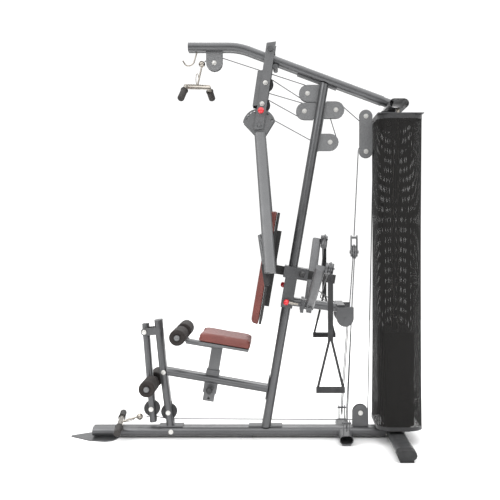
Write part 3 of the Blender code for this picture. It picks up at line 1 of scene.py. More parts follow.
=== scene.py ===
"""The looks of the multi station home gym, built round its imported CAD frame.

Everything is in metres in the CAD frame: -X is the front, where the foot plate is, and +Y is the seated
user's right.
"""

import json
import math

import bmesh
import bpy
from mathutils import Matrix, Vector


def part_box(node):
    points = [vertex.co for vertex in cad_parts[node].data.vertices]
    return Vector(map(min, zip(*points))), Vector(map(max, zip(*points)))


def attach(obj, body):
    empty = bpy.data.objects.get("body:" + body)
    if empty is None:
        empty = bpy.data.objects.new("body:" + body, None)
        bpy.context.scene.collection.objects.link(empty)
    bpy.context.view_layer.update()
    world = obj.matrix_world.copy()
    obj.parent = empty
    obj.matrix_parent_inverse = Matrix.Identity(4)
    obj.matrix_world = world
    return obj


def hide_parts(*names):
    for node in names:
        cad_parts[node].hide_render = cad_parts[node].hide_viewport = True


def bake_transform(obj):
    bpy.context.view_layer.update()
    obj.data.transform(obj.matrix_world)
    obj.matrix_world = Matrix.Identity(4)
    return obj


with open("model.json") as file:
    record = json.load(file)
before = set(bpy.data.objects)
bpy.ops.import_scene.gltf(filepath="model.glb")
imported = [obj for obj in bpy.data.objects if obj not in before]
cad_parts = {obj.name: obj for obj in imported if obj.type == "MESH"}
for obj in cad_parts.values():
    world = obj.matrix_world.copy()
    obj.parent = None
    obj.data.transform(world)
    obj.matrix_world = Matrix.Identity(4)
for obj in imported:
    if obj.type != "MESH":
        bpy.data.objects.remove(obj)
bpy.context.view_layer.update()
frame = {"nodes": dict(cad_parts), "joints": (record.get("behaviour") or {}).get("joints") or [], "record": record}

LEAN = math.radians(9.67)
ALONG = Vector((math.sin(LEAN), 0, math.cos(LEAN)))
ACROSS = Vector((math.cos(LEAN), 0, -math.sin(LEAN)))
UP = Vector((0, 0, 1))
FORWARD = Vector((1, 0, 0))
SIDEWAYS = Vector((0, 1, 0))
JOINTS = {joint["name"]: joint for joint in frame["joints"]}

CABLE_RADIUS = 0.0025
CABLE_WRAP = 0.0405
ARM_WRAP = 0.0297
MID_WRAP = 0.0338


# Materials


def node_material(name, metallic=0.0, coat=0.0, sheen=0.0):
    """A new material: its tree, its shader, and its object coordinates."""
    made = bpy.data.materials.new(name)
    made.use_nodes = True
    tree = made.node_tree
    shader = tree.nodes["Principled BSDF"]
    shader.inputs["Metallic"].default_value = metallic
    shader.inputs["Coat Weight"].default_value = coat
    shader.inputs["Sheen Weight"].default_value = sheen
    place = tree.nodes.new("ShaderNodeTexCoord").outputs["Object"]
    return made, tree, shader, place


def noise(tree, place, scale, detail=3.0, stretch=None):
    if stretch:
        mapping = tree.nodes.new("ShaderNodeMapping")
        mapping.inputs["Scale"].default_value = stretch
        tree.links.new(place, mapping.inputs["Vector"])
        place = mapping.outputs["Vector"]
    texture = tree.nodes.new("ShaderNodeTexNoise")
    texture.inputs["Scale"].default_value = scale
    texture.inputs["Detail"].default_value = detail
    tree.links.new(place, texture.inputs["Vector"])
    return texture.outputs["Fac"]


def ramp(tree, value, stops):
    """The value turned into a colour, or a grey, by stops of (place, colour)."""
    made = tree.nodes.new("ShaderNodeValToRGB")
    elements = made.color_ramp.elements
    while len(elements) < len(stops):
        elements.new(0.5)
    for element, (where, colour) in zip(elements, stops):
        element.position = where
        element.color = (*colour, 1) if isinstance(colour, tuple) else (colour, colour, colour, 1)
    tree.links.new(value, made.inputs["Fac"])
    return made.outputs["Color"]


def bump(tree, shader, height, strength, distance=0.001, under=None):
    made = tree.nodes.new("ShaderNodeBump")
    made.inputs["Strength"].default_value = strength
    made.inputs["Distance"].default_value = distance
    tree.links.new(height, made.inputs["Height"])
    if under:
        tree.links.new(under, made.inputs["Normal"])
    tree.links.new(made.outputs["Normal"], shader.inputs["Normal"])
    return made.outputs["Normal"]


def mixed(tree, first, second, factor, blend_type="MIX"):
    made = tree.nodes.new("ShaderNodeMix")
    made.data_type = "RGBA"
    made.blend_type = blend_type
    tree.links.new(first, made.inputs[6])
    tree.links.new(second, made.inputs[7])
    if isinstance(factor, float):
        made.inputs[0].default_value = factor
    else:
        tree.links.new(factor, made.inputs[0])
    return made.outputs[2]


def paint(name, dark, light, rough, metallic, flake=900.0):
    """Powder coat or metallic paint: a fine fleck, slow tone changes, faint orange peel and rubbed places."""
    made, tree, shader, place = node_material(name, metallic, coat=0.15)
    shader.inputs["Coat Roughness"].default_value = 0.25
    fleck = ramp(tree, noise(tree, place, flake, 2.0), [(0.35, dark), (0.65, light)])
    tone = ramp(tree, noise(tree, place, 6.0), [(0.3, 0.86), (0.7, 1.0)])
    tree.links.new(mixed(tree, fleck, tone, 1.0, "MULTIPLY"), shader.inputs["Base Color"])
    worn = ramp(tree, noise(tree, place, 28.0, 6.0), [(0.35, rough - 0.06), (0.7, rough + 0.08)])
    tree.links.new(worn, shader.inputs["Roughness"])
    bump(tree, shader, noise(tree, place, 420.0, 2.0), 0.10, 0.0004)
    return made


def polished(name, colour, rough, brushed=(1, 1, 1)):
    """Plated or bare steel with fine drawn lines and a few dull marks."""
    made, tree, shader, place = node_material(name, 1.0)
    tone = ramp(tree, noise(tree, place, 40.0, 5.0), [(0.3, tuple(0.82 * c for c in colour)), (0.7, colour)])
    tree.links.new(tone, shader.inputs["Base Color"])
    lines = noise(tree, place, 300.0, 3.0, brushed)
    tree.links.new(ramp(tree, lines, [(0.3, rough), (0.75, rough + 0.16)]), shader.inputs["Roughness"])
    bump(tree, shader, lines, 0.06, 0.0003)
    return made


def plastic(name, dark, light, rough, coat=0.0, grain=700.0, strength=0.15):
    made, tree, shader, place = node_material(name, 0.0, coat)
    shader.inputs["Coat Roughness"].default_value = 0.12
    tone = ramp(tree, noise(tree, place, 30.0, 4.0), [(0.3, dark), (0.72, light)])
    tree.links.new(tone, shader.inputs["Base Color"])
    grained = noise(tree, place, grain, 3.0)
    tree.links.new(ramp(tree, grained, [(0.3, rough - 0.05), (0.7, rough + 0.07)]),
                   shader.inputs["Roughness"])
    bump(tree, shader, grained, strength, 0.0005)
    return made


def foam(name):
    """Closed cell foam sleeve: fine pores over soft dents, dark brown black, with painted shade in each pore."""
    made, tree, shader, place = node_material(name)
    cells = tree.nodes.new("ShaderNodeTexVoronoi")
    cells.inputs["Scale"].default_value = 420.0
    tree.links.new(place, cells.inputs["Vector"])
    pores = cells.outputs["Distance"]
    slow = ramp(tree, noise(tree, place, 18.0, 3.0),
                [(0.3, (0.012, 0.009, 0.008)), (0.75, (0.024, 0.018, 0.016))])
    # Painted shade: the colour is darkened in each pore, where the bump sinks.
    painted_pore_shade = ramp(tree, pores, [(0.1, 0.55), (0.5, 1.0)])
    tree.links.new(mixed(tree, slow, painted_pore_shade, 1.0, "MULTIPLY"), shader.inputs["Base Color"])
    tree.links.new(ramp(tree, pores, [(0.1, 0.95), (0.6, 0.78)]), shader.inputs["Roughness"])
    dents = bump(tree, shader, noise(tree, place, 22.0, 2.0), 0.15, 0.002)
    bump(tree, shader, pores, 0.35, 0.0006, dents)
    return made


def vinyl(name, dark, light):
    """Upholstery vinyl: pebbled leather grain with finer crease lines, darkened along them by painted shade, its
    tone changing slowly.
    """
    made, tree, shader, place = node_material(name)
    cells = tree.nodes.new("ShaderNodeTexVoronoi")
    cells.feature = "DISTANCE_TO_EDGE"
    cells.inputs["Scale"].default_value = 330.0
    tree.links.new(place, cells.inputs["Vector"])
    grain = cells.outputs["Distance"]
    slow = ramp(tree, noise(tree, place, 7.0, 4.0), [(0.3, dark), (0.72, light)])
    # Painted shade: the colour is darkened along the grain's crease lines, where the bump sinks.
    painted_crease_shade = ramp(tree, grain, [(0.0, 0.72), (0.12, 1.0)])
    tree.links.new(mixed(tree, slow, painted_crease_shade, 1.0, "MULTIPLY"), shader.inputs["Base Color"])
    tree.links.new(ramp(tree, noise(tree, place, 60.0, 4.0), [(0.3, 0.40), (0.7, 0.56)]),
                   shader.inputs["Roughness"])
    folds = bump(tree, shader, noise(tree, place, 26.0, 4.0), 0.12, 0.002)
    bump(tree, shader, ramp(tree, grain, [(0.0, 0.0), (0.25, 1.0)]), 0.30, 0.0005, folds)
    return made


def woven_mesh(name):
    """Open black weave: crossing threads with holes between them."""
    made, tree, shader, place = node_material(name)
    split = tree.nodes.new("ShaderNodeSeparateXYZ")
    tree.links.new(place, split.inputs["Vector"])
    around = tree.nodes.new("ShaderNodeMath")
    around.operation = "ADD"
    tree.links.new(split.outputs["X"], around.inputs[0])
    tree.links.new(split.outputs["Y"], around.inputs[1])
    threads = []
    for value, pitch in ((around.outputs[0], WEAVE_PITCH), (split.outputs["Z"], WEAVE_PITCH)):
        wave = tree.nodes.new("ShaderNodeMath")
        wave.operation = "MULTIPLY"
        wave.inputs[1].default_value = 2 * math.pi / pitch
        tree.links.new(value, wave.inputs[0])
        sine = tree.nodes.new("ShaderNodeMath")
        sine.operation = "SINE"
        tree.links.new(wave.outputs[0], sine.inputs[0])
        threads.append(sine.outputs[0])
    highest = tree.nodes.new("ShaderNodeMath")
    highest.operation = "MAXIMUM"
    tree.links.new(threads[0], highest.inputs[0])
    tree.links.new(threads[1], highest.inputs[1])
    lifted = tree.nodes.new("ShaderNodeMath")
    lifted.inputs[1].default_value = 0.6
    tree.links.new(highest.outputs[0], lifted.inputs[0])
    solid = ramp(tree, lifted.outputs[0], [(0.02, 0.0), (0.20, 1.0)])
    tree.links.new(solid, shader.inputs["Alpha"])
    tone = ramp(tree, noise(tree, place, 300.0, 2.0),
                [(0.3, (0.006, 0.006, 0.006)), (0.7, (0.018, 0.017, 0.016))])
    tree.links.new(tone, shader.inputs["Base Color"])
    shader.inputs["Roughness"].default_value = 0.85
    shader.inputs["Specular IOR Level"].default_value = 0.2
    bump(tree, shader, highest.outputs[0], 0.4, 0.0008)
    return made


def webbing(name):
    """Black nylon webbing: a ribbed weave across its length, with painted shade in the grooves between the ribs.
    """
    made, tree, shader, place = node_material(name, 0.0, sheen=0.3)
    wave = tree.nodes.new("ShaderNodeTexWave")
    wave.bands_direction = "Z"
    wave.inputs["Scale"].default_value = 260.0
    wave.inputs["Distortion"].default_value = 1.2
    tree.links.new(place, wave.inputs["Vector"])
    rib = wave.outputs["Fac"]
    # Painted shade: the colour is darker in the grooves between the ribs and lighter on their crests, following
    # the bump.
    tree.links.new(ramp(tree, rib, [(0.2, (0.010, 0.010, 0.011)), (0.8, (0.040, 0.040, 0.042))]),
                   shader.inputs["Base Color"])
    tree.links.new(ramp(tree, noise(tree, place, 90.0), [(0.3, 0.7), (0.7, 0.9)]), shader.inputs["Roughness"])
    bump(tree, shader, rib, 0.4, 0.0006)
    return made


def rope(name):
    """Nylon sheathed wire rope: the strands show faintly through a glossy sheath."""
    made, tree, shader, place = node_material(name, 0.1, coat=0.3)
    strands = noise(tree, place, 500.0, 2.0)
    tree.links.new(ramp(tree, strands, [(0.3, (0.030, 0.030, 0.032)), (0.7, (0.075, 0.075, 0.080))]),
                   shader.inputs["Base Color"])
    tree.links.new(ramp(tree, strands, [(0.3, 0.28), (0.7, 0.42)]), shader.inputs["Roughness"])
    bump(tree, shader, strands, 0.2, 0.0004)
    return made


def plates_finish(name):
    """Cast plates in black enamel, slightly rough."""
    made, tree, shader, place = node_material(name, 0.35)
    cast = noise(tree, place, 160.0, 5.0)
    tree.links.new(ramp(tree, cast, [(0.3, (0.010, 0.010, 0.010)), (0.75, (0.030, 0.030, 0.031))]),
                   shader.inputs["Base Color"])
    tree.links.new(ramp(tree, cast, [(0.3, 0.5), (0.7, 0.7)]), shader.inputs["Roughness"])
    bump(tree, shader, cast, 0.3, 0.0008)
    return made


WEAVE_PITCH = 0.0046
FRAME_PAINT = paint("graphite_paint", (0.086, 0.087, 0.090), (0.150, 0.152, 0.157), 0.34, 0.62)
BRACKET_PAINT = paint("speckled_grey_paint", (0.120, 0.122, 0.125), (0.235, 0.238, 0.242), 0.46, 0.30, 520.0)
FLAT_PAINT = paint("press_arm_paint", (0.110, 0.112, 0.115), (0.175, 0.177, 0.181), 0.45, 0.35)
CHROME = polished("chrome_plate", (0.40, 0.37, 0.33), 0.18, (1, 1, 0.06))
BOLT_STEEL = polished("zinc_bolt", (0.86, 0.85, 0.82), 0.30)
RUBBER = plastic("black_rubber", (0.010, 0.010, 0.011), (0.028, 0.028, 0.029), 0.72)
GRIP_RUBBER = plastic("ribbed_grip", (0.014, 0.012, 0.011), (0.034, 0.030, 0.028), 0.70, grain=260.0,
                      strength=0.4)
NYLON = plastic("black_nylon", (0.012, 0.012, 0.013), (0.030, 0.030, 0.031), 0.42)
END_CAP = plastic("end_cap_plastic", (0.020, 0.020, 0.021), (0.042, 0.042, 0.043), 0.50)
RED_KNOB = plastic("red_knob", (0.620, 0.012, 0.022), (0.780, 0.026, 0.036), 0.28, coat=0.6, strength=0.05)
FOAM = foam("foam_sleeve")
SEAT_VINYL = vinyl("red_brown_vinyl", (0.120, 0.028, 0.022), (0.180, 0.046, 0.036))
BLACK_BOARD = plastic("black_board", (0.012, 0.012, 0.012), (0.026, 0.025, 0.025), 0.62, grain=140.0)
WEAVE = woven_mesh("shroud_weave")
WEBBING = webbing("nylon_webbing")
ROPE = rope("sheathed_cable")
IRON = plates_finish("cast_plates")

CAD_FINISHES = {
    "frame": FRAME_PAINT,
    "bracket": BRACKET_PAINT,
    "chrome": CHROME,
    "rubber": RUBBER,
    "pulley": NYLON,
    "cable": ROPE,
    "vinyl": SEAT_VINYL,
    "board": BLACK_BOARD,
    "mesh": WEAVE,
    "iron": IRON,
}


# The carried-over CAD pieces: better finishes, smooth rounds and sharp edges


SLOT_OF = {part["node"]: part["material_slot"] for part in frame["record"]["subparts"]}
FLAT_NODES = ("press_arm", "swing_arm", "seat_post")


def dress_cad_nodes():
    for name, obj in frame["nodes"].items():
        finish = FLAT_PAINT if name in FLAT_NODES else CAD_FINISHES[SLOT_OF[name]]
        obj.data.materials.clear()
        obj.data.materials.append(finish)
        weld = obj.modifiers.new("weld", "WELD")
        weld.merge_threshold = 0.00002
        obj.data.shade_smooth()
        split = obj.modifiers.new("split", "EDGE_SPLIT")
        split.split_angle = math.radians(38)


def smooth_rounds(obj, angle=38):
    """Shades the rounds smooth and keeps the edges sharper than the angle."""
    obj.data.shade_smooth()
    obj.data.set_sharp_from_angle(angle=math.radians(angle))


dress_cad_nodes()


# Mesh helpers


def node_centre(name):
    low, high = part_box(name)
    return (Vector(low) + Vector(high)) / 2


def node_size(name):
    low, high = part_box(name)
    return Vector(high) - Vector(low)


def piece(name, shape, finish, body, replaced=(), smooth=40):
    """An object made from a bmesh, given its finish and the body it rides on."""
    mesh = bpy.data.meshes.new(name)
    bmesh.ops.recalc_face_normals(shape, faces=shape.faces)
    shape.to_mesh(mesh)
    shape.free()
    mesh.materials.append(finish)
    obj = bpy.data.objects.new(name, mesh)
    bpy.context.scene.collection.objects.link(obj)
    smooth_rounds(obj, smooth)
    if body:
        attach(obj, body)
    if replaced:
        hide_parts(*replaced)
    return obj


def basis(origin, z_axis, x_axis=SIDEWAYS):
    """A matrix whose Z runs along z_axis, with its X as near x_axis as that allows."""
    z = Vector(z_axis).normalized()
    y = z.cross(Vector(x_axis)).normalized()
    x = y.cross(z)
    made = Matrix((x, y, z)).transposed().to_4x4()
    made.translation = Vector(origin)
    return made


def loft(shape, loops, closed_ends=True, closed_ring=False):
    """Skins a row of point loops that all have the same count."""
    rows = [[shape.verts.new(point) for point in loop] for loop in loops]
    pairs = list(zip(rows, rows[1:]))
    if closed_ring:
        pairs.append((rows[-1], rows[0]))
    for first, second in pairs:
        for i in range(len(first)):
            j = (i + 1) % len(first)
            shape.faces.new((first[i], first[j], second[j], second[i]))
    if closed_ends and not closed_ring:
        shape.faces.new(rows[0][::-1])
        shape.faces.new(rows[-1])


def turn_profile(shape, profile, matrix, steps=40):
    """Turns (radius, height) points round the matrix's Z."""
    loops = []
    for radius, height in profile:
        ring = []
        for i in range(steps):
            angle = 2 * math.pi * i / steps
            ring.append(matrix @ Vector((radius * math.cos(angle), radius * math.sin(angle), height)))
        loops.append(ring)
    loft(shape, loops)


def sweep(shape, points, radius, steps=12, squash=1.0, side=None):
    """A round, or flattened, tube along points. Its frame is carried along without twisting."""
    points = [Vector(p) for p in points]
    ways = []
    for i, point in enumerate(points):
        before = points[max(i - 1, 0)]
        after = points[min(i + 1, len(points) - 1)]
        ways.append((after - before).normalized())
    across = Vector(side) if side else (SIDEWAYS if abs(ways[0].y) < 0.9 else FORWARD)
    loops = []
    for point, way in zip(points, ways):
        across = (across - way * across.dot(way)).normalized()
        other = way.cross(across)
        ring = []
        for i in range(steps):
            angle = 2 * math.pi * i / steps
            ring.append(point + radius * (math.cos(angle) * across + squash * math.sin(angle) * other))
        loops.append(ring)
    loft(shape, loops)


def round_points(points, radius, steps=6):
    """The way through the points with each inner corner turned into a smooth bend."""
    points = [Vector(p) for p in points]
    out = [points[0]]
    for before, corner, after in zip(points, points[1:], points[2:]):
        reach = min(radius, (before - corner).length * 0.49, (after - corner).length * 0.49)
        start = corner + (before - corner).normalized() * reach
        end = corner + (after - corner).normalized() * reach
        for i in range(steps + 1):
            t = i / steps
            out.append(start * (1 - t) ** 2 + corner * 2 * t * (1 - t) + end * t * t)
    out.append(points[-1])
    return out


# Bolts


def hex_bolt(shape, at, way, radius=0.0085, height=0.0055, washer=0.0115):
    """A washer and a domed hexagon head standing on a face, its axis along way."""
    place = basis(at, way, FORWARD if abs(Vector(way).x) < 0.9 else SIDEWAYS)
    turn_profile(shape, [(washer, 0), (washer, 0.0012), (washer - 0.0006, 0.0018), (radius * 0.8, 0.0018)],
                 place, 24)
    sides = [(radius, 0.0018), (radius, height), (radius * 0.90, height + 0.0009),
             (radius * 0.55, height + 0.0013)]
    turn_profile(shape, sides, place, 6)


# Cushions


def stuffed_pad(name, size, place, body, replaced, press=3.0, swell=0.007):
    """A sewn pad: a rounded board of foam that cloth pressure crowns, with its back kept flat on its board.

    Local X runs along the pad, local Y across it, and local Z out of it towards the user."""
    length, width, thick = size
    shape = bmesh.new()
    core = Matrix.Diagonal((length - 0.010, width - 0.010, thick - 0.006, 1))
    bmesh.ops.create_cube(shape, size=1, matrix=core)
    upright_edges = [e for e in shape.edges if abs((e.verts[0].co - e.verts[1].co).normalized().z) > 0.9]
    bmesh.ops.bevel(shape, geom=upright_edges, offset=0.020, segments=6, affect="EDGES", profile=0.5)
    rims = [e for e in shape.edges if abs(e.verts[0].co.z - e.verts[1].co.z) < 1e-5
            and abs(e.calc_face_angle(0)) > 1.0]
    bmesh.ops.bevel(shape, geom=rims, offset=0.007, segments=3, affect="EDGES", profile=0.5)
    mesh = bpy.data.meshes.new(name)
    shape.to_mesh(mesh)
    shape.free()
    pad = bpy.data.objects.new(name, mesh)
    bpy.context.scene.collection.objects.link(pad)
    swollen(pad, thick, press, swell)
    mesh = pad.data
    mark_seams(mesh, thick)
    mesh.transform(place)
    mesh.materials.clear()
    mesh.materials.append(SEAT_VINYL)
    mesh.shade_smooth()
    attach(pad, body)
    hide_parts(replaced)
    return pad


def swollen(pad, thick, press, swell):
    """Remeshes the pad, blows it up a little, and puts back what rests on the board."""
    scene = bpy.context.scene
    remesh = pad.modifiers.new("remesh", "REMESH")
    remesh.mode = "VOXEL"
    remesh.voxel_size = 0.005
    apply_modifiers(pad)
    rest = [vert.co.copy() for vert in pad.data.vertices]
    cloth = pad.modifiers.new("cloth", "CLOTH")
    cloth.settings.use_pressure = True
    cloth.settings.uniform_pressure_force = press
    cloth.settings.effector_weights.gravity = 0
    cloth.settings.mass = 0.3
    cloth.settings.tension_stiffness = 25
    cloth.settings.bending_stiffness = 2.0
    cloth.point_cache.frame_start = 1
    cloth.point_cache.frame_end = 20
    for frame_number in range(1, 21):
        scene.frame_set(frame_number)
    apply_modifiers(pad)
    for vert, before in zip(pad.data.vertices, rest):
        moved = vert.co - before
        limit = swell * min(1.0, max(0.0, (before.z + thick * 0.30) / (thick * 0.5)))
        if moved.length > limit:
            vert.co = before + moved.normalized() * limit
    scene.frame_set(1)
    smooth = pad.modifiers.new("smooth", "SMOOTH")
    smooth.iterations = 2
    apply_modifiers(pad)
    finer = pad.modifiers.new("finer", "SUBSURF")
    finer.levels = 1
    finer.render_levels = 1
    apply_modifiers(pad)


def apply_modifiers(obj):
    graph = bpy.context.evaluated_depsgraph_get()
    made = bpy.data.meshes.new_from_object(obj.evaluated_get(graph))
    obj.modifiers.clear()
    obj.data = made


def mark_seams(mesh, thick):
    """Presses in the sewn lines under the top panel and along the back, with small stitch dimples."""
    top = thick * 0.27
    low = -thick * 0.40
    for vert in mesh.vertices:
        x, y, z = vert.co
        for line, depth in ((top, 0.0016), (low, 0.0012)):
            near = max(0.0, 1 - abs(z - line) / 0.0028)
            if near and abs(vert.normal.z) < 0.75:
                stitch = 0.75 + 0.25 * math.cos((x + y) * 2 * math.pi / 0.006)
                vert.co -= vert.normal * depth * near * stitch


def pad_place(node, face):
    """The pad's own frame from its CAD box: X along the lean's slope, Z out of the seat or the backrest."""
    centre = node_centre(node)
    if face == "up":
        return basis(centre, ALONG, ACROSS)
    return basis(centre, -ACROSS, ALONG)


SEAT_SIZE = (0.285, 0.270, 0.045)
BACK_SIZE = (0.615, 0.270, 0.038)
seat_place = pad_place("seat_cushion", "up")
back_place = pad_place("backrest_cushion", "front")
stuffed_pad("seat_pad", SEAT_SIZE, seat_place, "seat", "seat_cushion")
stuffed_pad("backrest_pad", BACK_SIZE, back_place, "backrest", "backrest_cushion")


# Foam rollers


def add_roller(node):
    """A foam sleeve with soft ends, a dished rim round its axle, and faint squeeze marks along it."""
    centre = node_centre(node)
    size = node_size(node)
    radius = size.x / 2
    half = size.y / 2
    shape = bmesh.new()
    bore = 0.0170
    profile = [(bore, -half + 0.004), (bore + 0.006, -half + 0.0012), (radius * 0.62, -half + 0.0006)]
    for i in range(7):
        angle = math.radians(-90 + 15 * i)
        profile.append((radius - 0.009 + 0.009 * math.cos(angle), -half + 0.009 + 0.009 * math.sin(angle)))
    for i in range(1, 24):
        along = -half + 0.009 + (2 * half - 0.018) * i / 24
        profile.append((radius - 0.0005 * (1 + math.sin(i * 1.9)), along))
    for i in range(7):
        angle = math.radians(15 * i)
        profile.append((radius - 0.009 + 0.009 * math.cos(angle), half - 0.009 + 0.009 * math.sin(angle)))
    profile += [(radius * 0.62, half - 0.0006), (bore + 0.006, half - 0.0012), (bore, half - 0.004)]
    turn_profile(shape, profile, basis(centre, SIDEWAYS, FORWARD), 64)
    foam_sleeve = piece(f"{node}_foam", shape, FOAM, node, [node], 60)


for roller in ("leg_roller_left", "leg_roller_right", "seat_roller_left", "seat_roller_right"):
    add_roller(roller)


DISC_OUT = 0.0063
DISC_PROFILE = ((0.0120, 0), (0.0120, 0.0008), (0.0110, 0.0018), (0.0070, 0.0022), (0.0060, 0.0012))


def add_axle_caps():
    """The pressed grey disc at the outer end of each roller's axle."""
    for kind, body in (("leg_roller", "leg_lever"), ("seat_roller", "seat")):
        for label, side in (("left", -1), ("right", 1)):
            centre = node_centre(f"{kind}_{label}")
            face = centre + SIDEWAYS * side * (node_size(f"{kind}_{label}").y / 2 + DISC_OUT)
            place = basis(face, SIDEWAYS * side, FORWARD)
            shape = bmesh.new()
            turn_profile(shape, DISC_PROFILE, place, 32)
            piece(f"{kind}_{label}_disc", shape, BRACKET_PAINT, body)


add_axle_caps()


# Cables: each run rides on the body its ends hang on, or on no body where they hang on two


AXLES = {name: (node_centre(name).x, node_centre(name).z)
         for name in frame["nodes"] if name.endswith("_pulley")}
BLOCK_CENTRE = node_centre("double_pulley_block")
BLOCK_AXLE = 0.095
AXLES["block_high"] = (BLOCK_CENTRE.x, BLOCK_CENTRE.z + BLOCK_AXLE)
AXLES["block_low"] = (BLOCK_CENTRE.x, BLOCK_CENTRE.z - BLOCK_AXLE)
FLOATING = Vector((0.577, 0, 0.997))
HIGH_ROUTE = (
    ("lat_pulley", -1, "root"),
    ("front_upper_pulley", -1, "root"),
    ("swing_upper_pulley", 1, "swing_arm"),
    ("front_lower_pulley", -1, "root"),
    ("swing_lower_pulley", 1, "swing_arm"),
    ("rear_lower_pulley", 1, "root"),
    ("rear_upper_pulley", -1, "root"),
    ("block_high", 1, "double_pulley_block"),
    ("stack_top_pulley", -1, "root"),
)
LOW_ROUTE = (
    ("lever_pulley", 1, "leg_lever"),
    ("post_pulley", 1, "root"),
    ("base_pulley", 1, "root"),
    ("block_low", 1, "double_pulley_block"),
)
HIGH_START = (-0.2304, 2.0237)
HIGH_END = (0.800, 0.643)
LOW_START = (-0.5450, 0.1065)
LOW_END = (0.577, 1.084)


def strand(name, points, first, second, replaced=()):
    """A piece of cable that rides on one body, or on none when it runs between two."""
    shape = bmesh.new()
    sweep(shape, points, CABLE_RADIUS, 8)
    made = piece(name, shape, ROPE, None if first != second else first, replaced)
    if first != second:
        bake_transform(made)
    return made


def straight(start, end, rings=28):
    start, end = Vector(start), Vector(end)
    return [start.lerp(end, k / rings) for k in range(rings + 1)]


def belt_parts(start, wheels, end):
    """Straight runs and wraps in the middle plane for a cable over wheels, each (centre, turn), turn 1 being
    counter-clockwise: the list alternates run, wrap, run ... run."""
    stops = [(Vector(start), 0)] + [(Vector(centre), turn) for centre, turn in wheels] + [(Vector(end), 0)]
    headings = []
    for (here, turn), (there, next_turn) in zip(stops, stops[1:]):
        span = there - here
        headings.append(math.atan2(span.y, span.x) - math.asin((next_turn - turn) * CABLE_WRAP / span.length))
    touches = []
    for (here, turn), (there, next_turn), heading in zip(stops, stops[1:], headings):
        leave = here + turn * CABLE_WRAP * Vector((math.sin(heading), -math.cos(heading)))
        reach = there + next_turn * CABLE_WRAP * Vector((math.sin(heading), -math.cos(heading)))
        touches.append((leave, reach))
    parts = []
    for i, (leave, reach) in enumerate(touches):
        parts.append(straight((leave.x, 0, leave.y), (reach.x, 0, reach.y)))
        if i + 1 == len(touches):
            break
        centre, turn = stops[i + 1]
        bend = (headings[i + 1] - headings[i]) * turn % (2 * math.pi) * turn
        first = headings[i] - math.pi / 2 * turn
        steps = max(6, math.ceil(abs(bend) / math.radians(9)))
        wrap = []
        for k in range(steps + 1):
            angle = first + bend * k / steps
            wrap.append(Vector((centre.x + CABLE_WRAP * math.cos(angle), 0,
                                centre.y + CABLE_WRAP * math.sin(angle))))
        parts.append(wrap)
    return parts


def lay_cable(name, start_body, start, route, end, end_body, replaced):
    wheels = [(AXLES[wheel], turn) for wheel, turn, _ in route]
    parts = belt_parts(start, wheels, end)
    owners = [start_body] + [body for _, _, body in route] + [end_body]
    number = 0
    for i, (here, there) in enumerate(zip(owners, owners[1:])):
        number += 1
        run = parts[2 * i]
        if {here, there} == {"double_pulley_block", "floating_pulley_block"}:
            middle = len(run) // 2
            strand(f"{name}_run_{number}a", run[: middle + 1], here, "root")
            strand(f"{name}_run_{number}b", run[middle:], "root", there)
        else:
            strand(f"{name}_run_{number}", run, here, there, [replaced] if i == 0 else ())
        if 2 * i + 1 < len(parts):
            strand(f"{name}_wrap_{number}", parts[2 * i + 1], there, there)


lay_cable("high_cable", "lat_bar", HIGH_START, HIGH_ROUTE, HIGH_END, "weight_carriage", "high_cable")
lay_cable("low_cable", "low_bar", LOW_START, LOW_ROUTE, LOW_END, "floating_pulley_block", "low_cable")


ARM_RISES = {"left": math.radians(29), "right": math.radians(46)}
ARM_SIDES = {"left": -1, "right": 1}
ARM_WHEEL = 0.502
ARM_WHEEL_BEHIND = 0.045
ARM_TURN = 0.080
BALL_RADIUS = 0.0155
BALL_BELOW = 0.042
MID_HIGH = (0.519, 0.125, 0.655)
MID_BASE = (0.523, 0.176, 0.117)


def turn_about(centre, first, second, radius, angles):
    turns = [math.radians(angle) for angle in angles]
    return [Vector(centre) + radius * (math.cos(a) * first + math.sin(a) * second) for a in turns]


def arm_frame(label):
    """The arm's pivot, the way along it, the way square to it, and its wheel's centre."""
    side = ARM_SIDES[label]
    rise = ARM_RISES[label]
    pivot = Vector(JOINTS[f"cable_arm_{label}_swing"]["pos_m"])
    up = (ALONG * math.sin(rise) + SIDEWAYS * side * math.cos(rise)).normalized()
    over = (ALONG * math.cos(rise) - SIDEWAYS * side * math.sin(rise)).normalized()
    return pivot, up, over, pivot + up * ARM_WHEEL + ACROSS * ARM_WHEEL_BEHIND


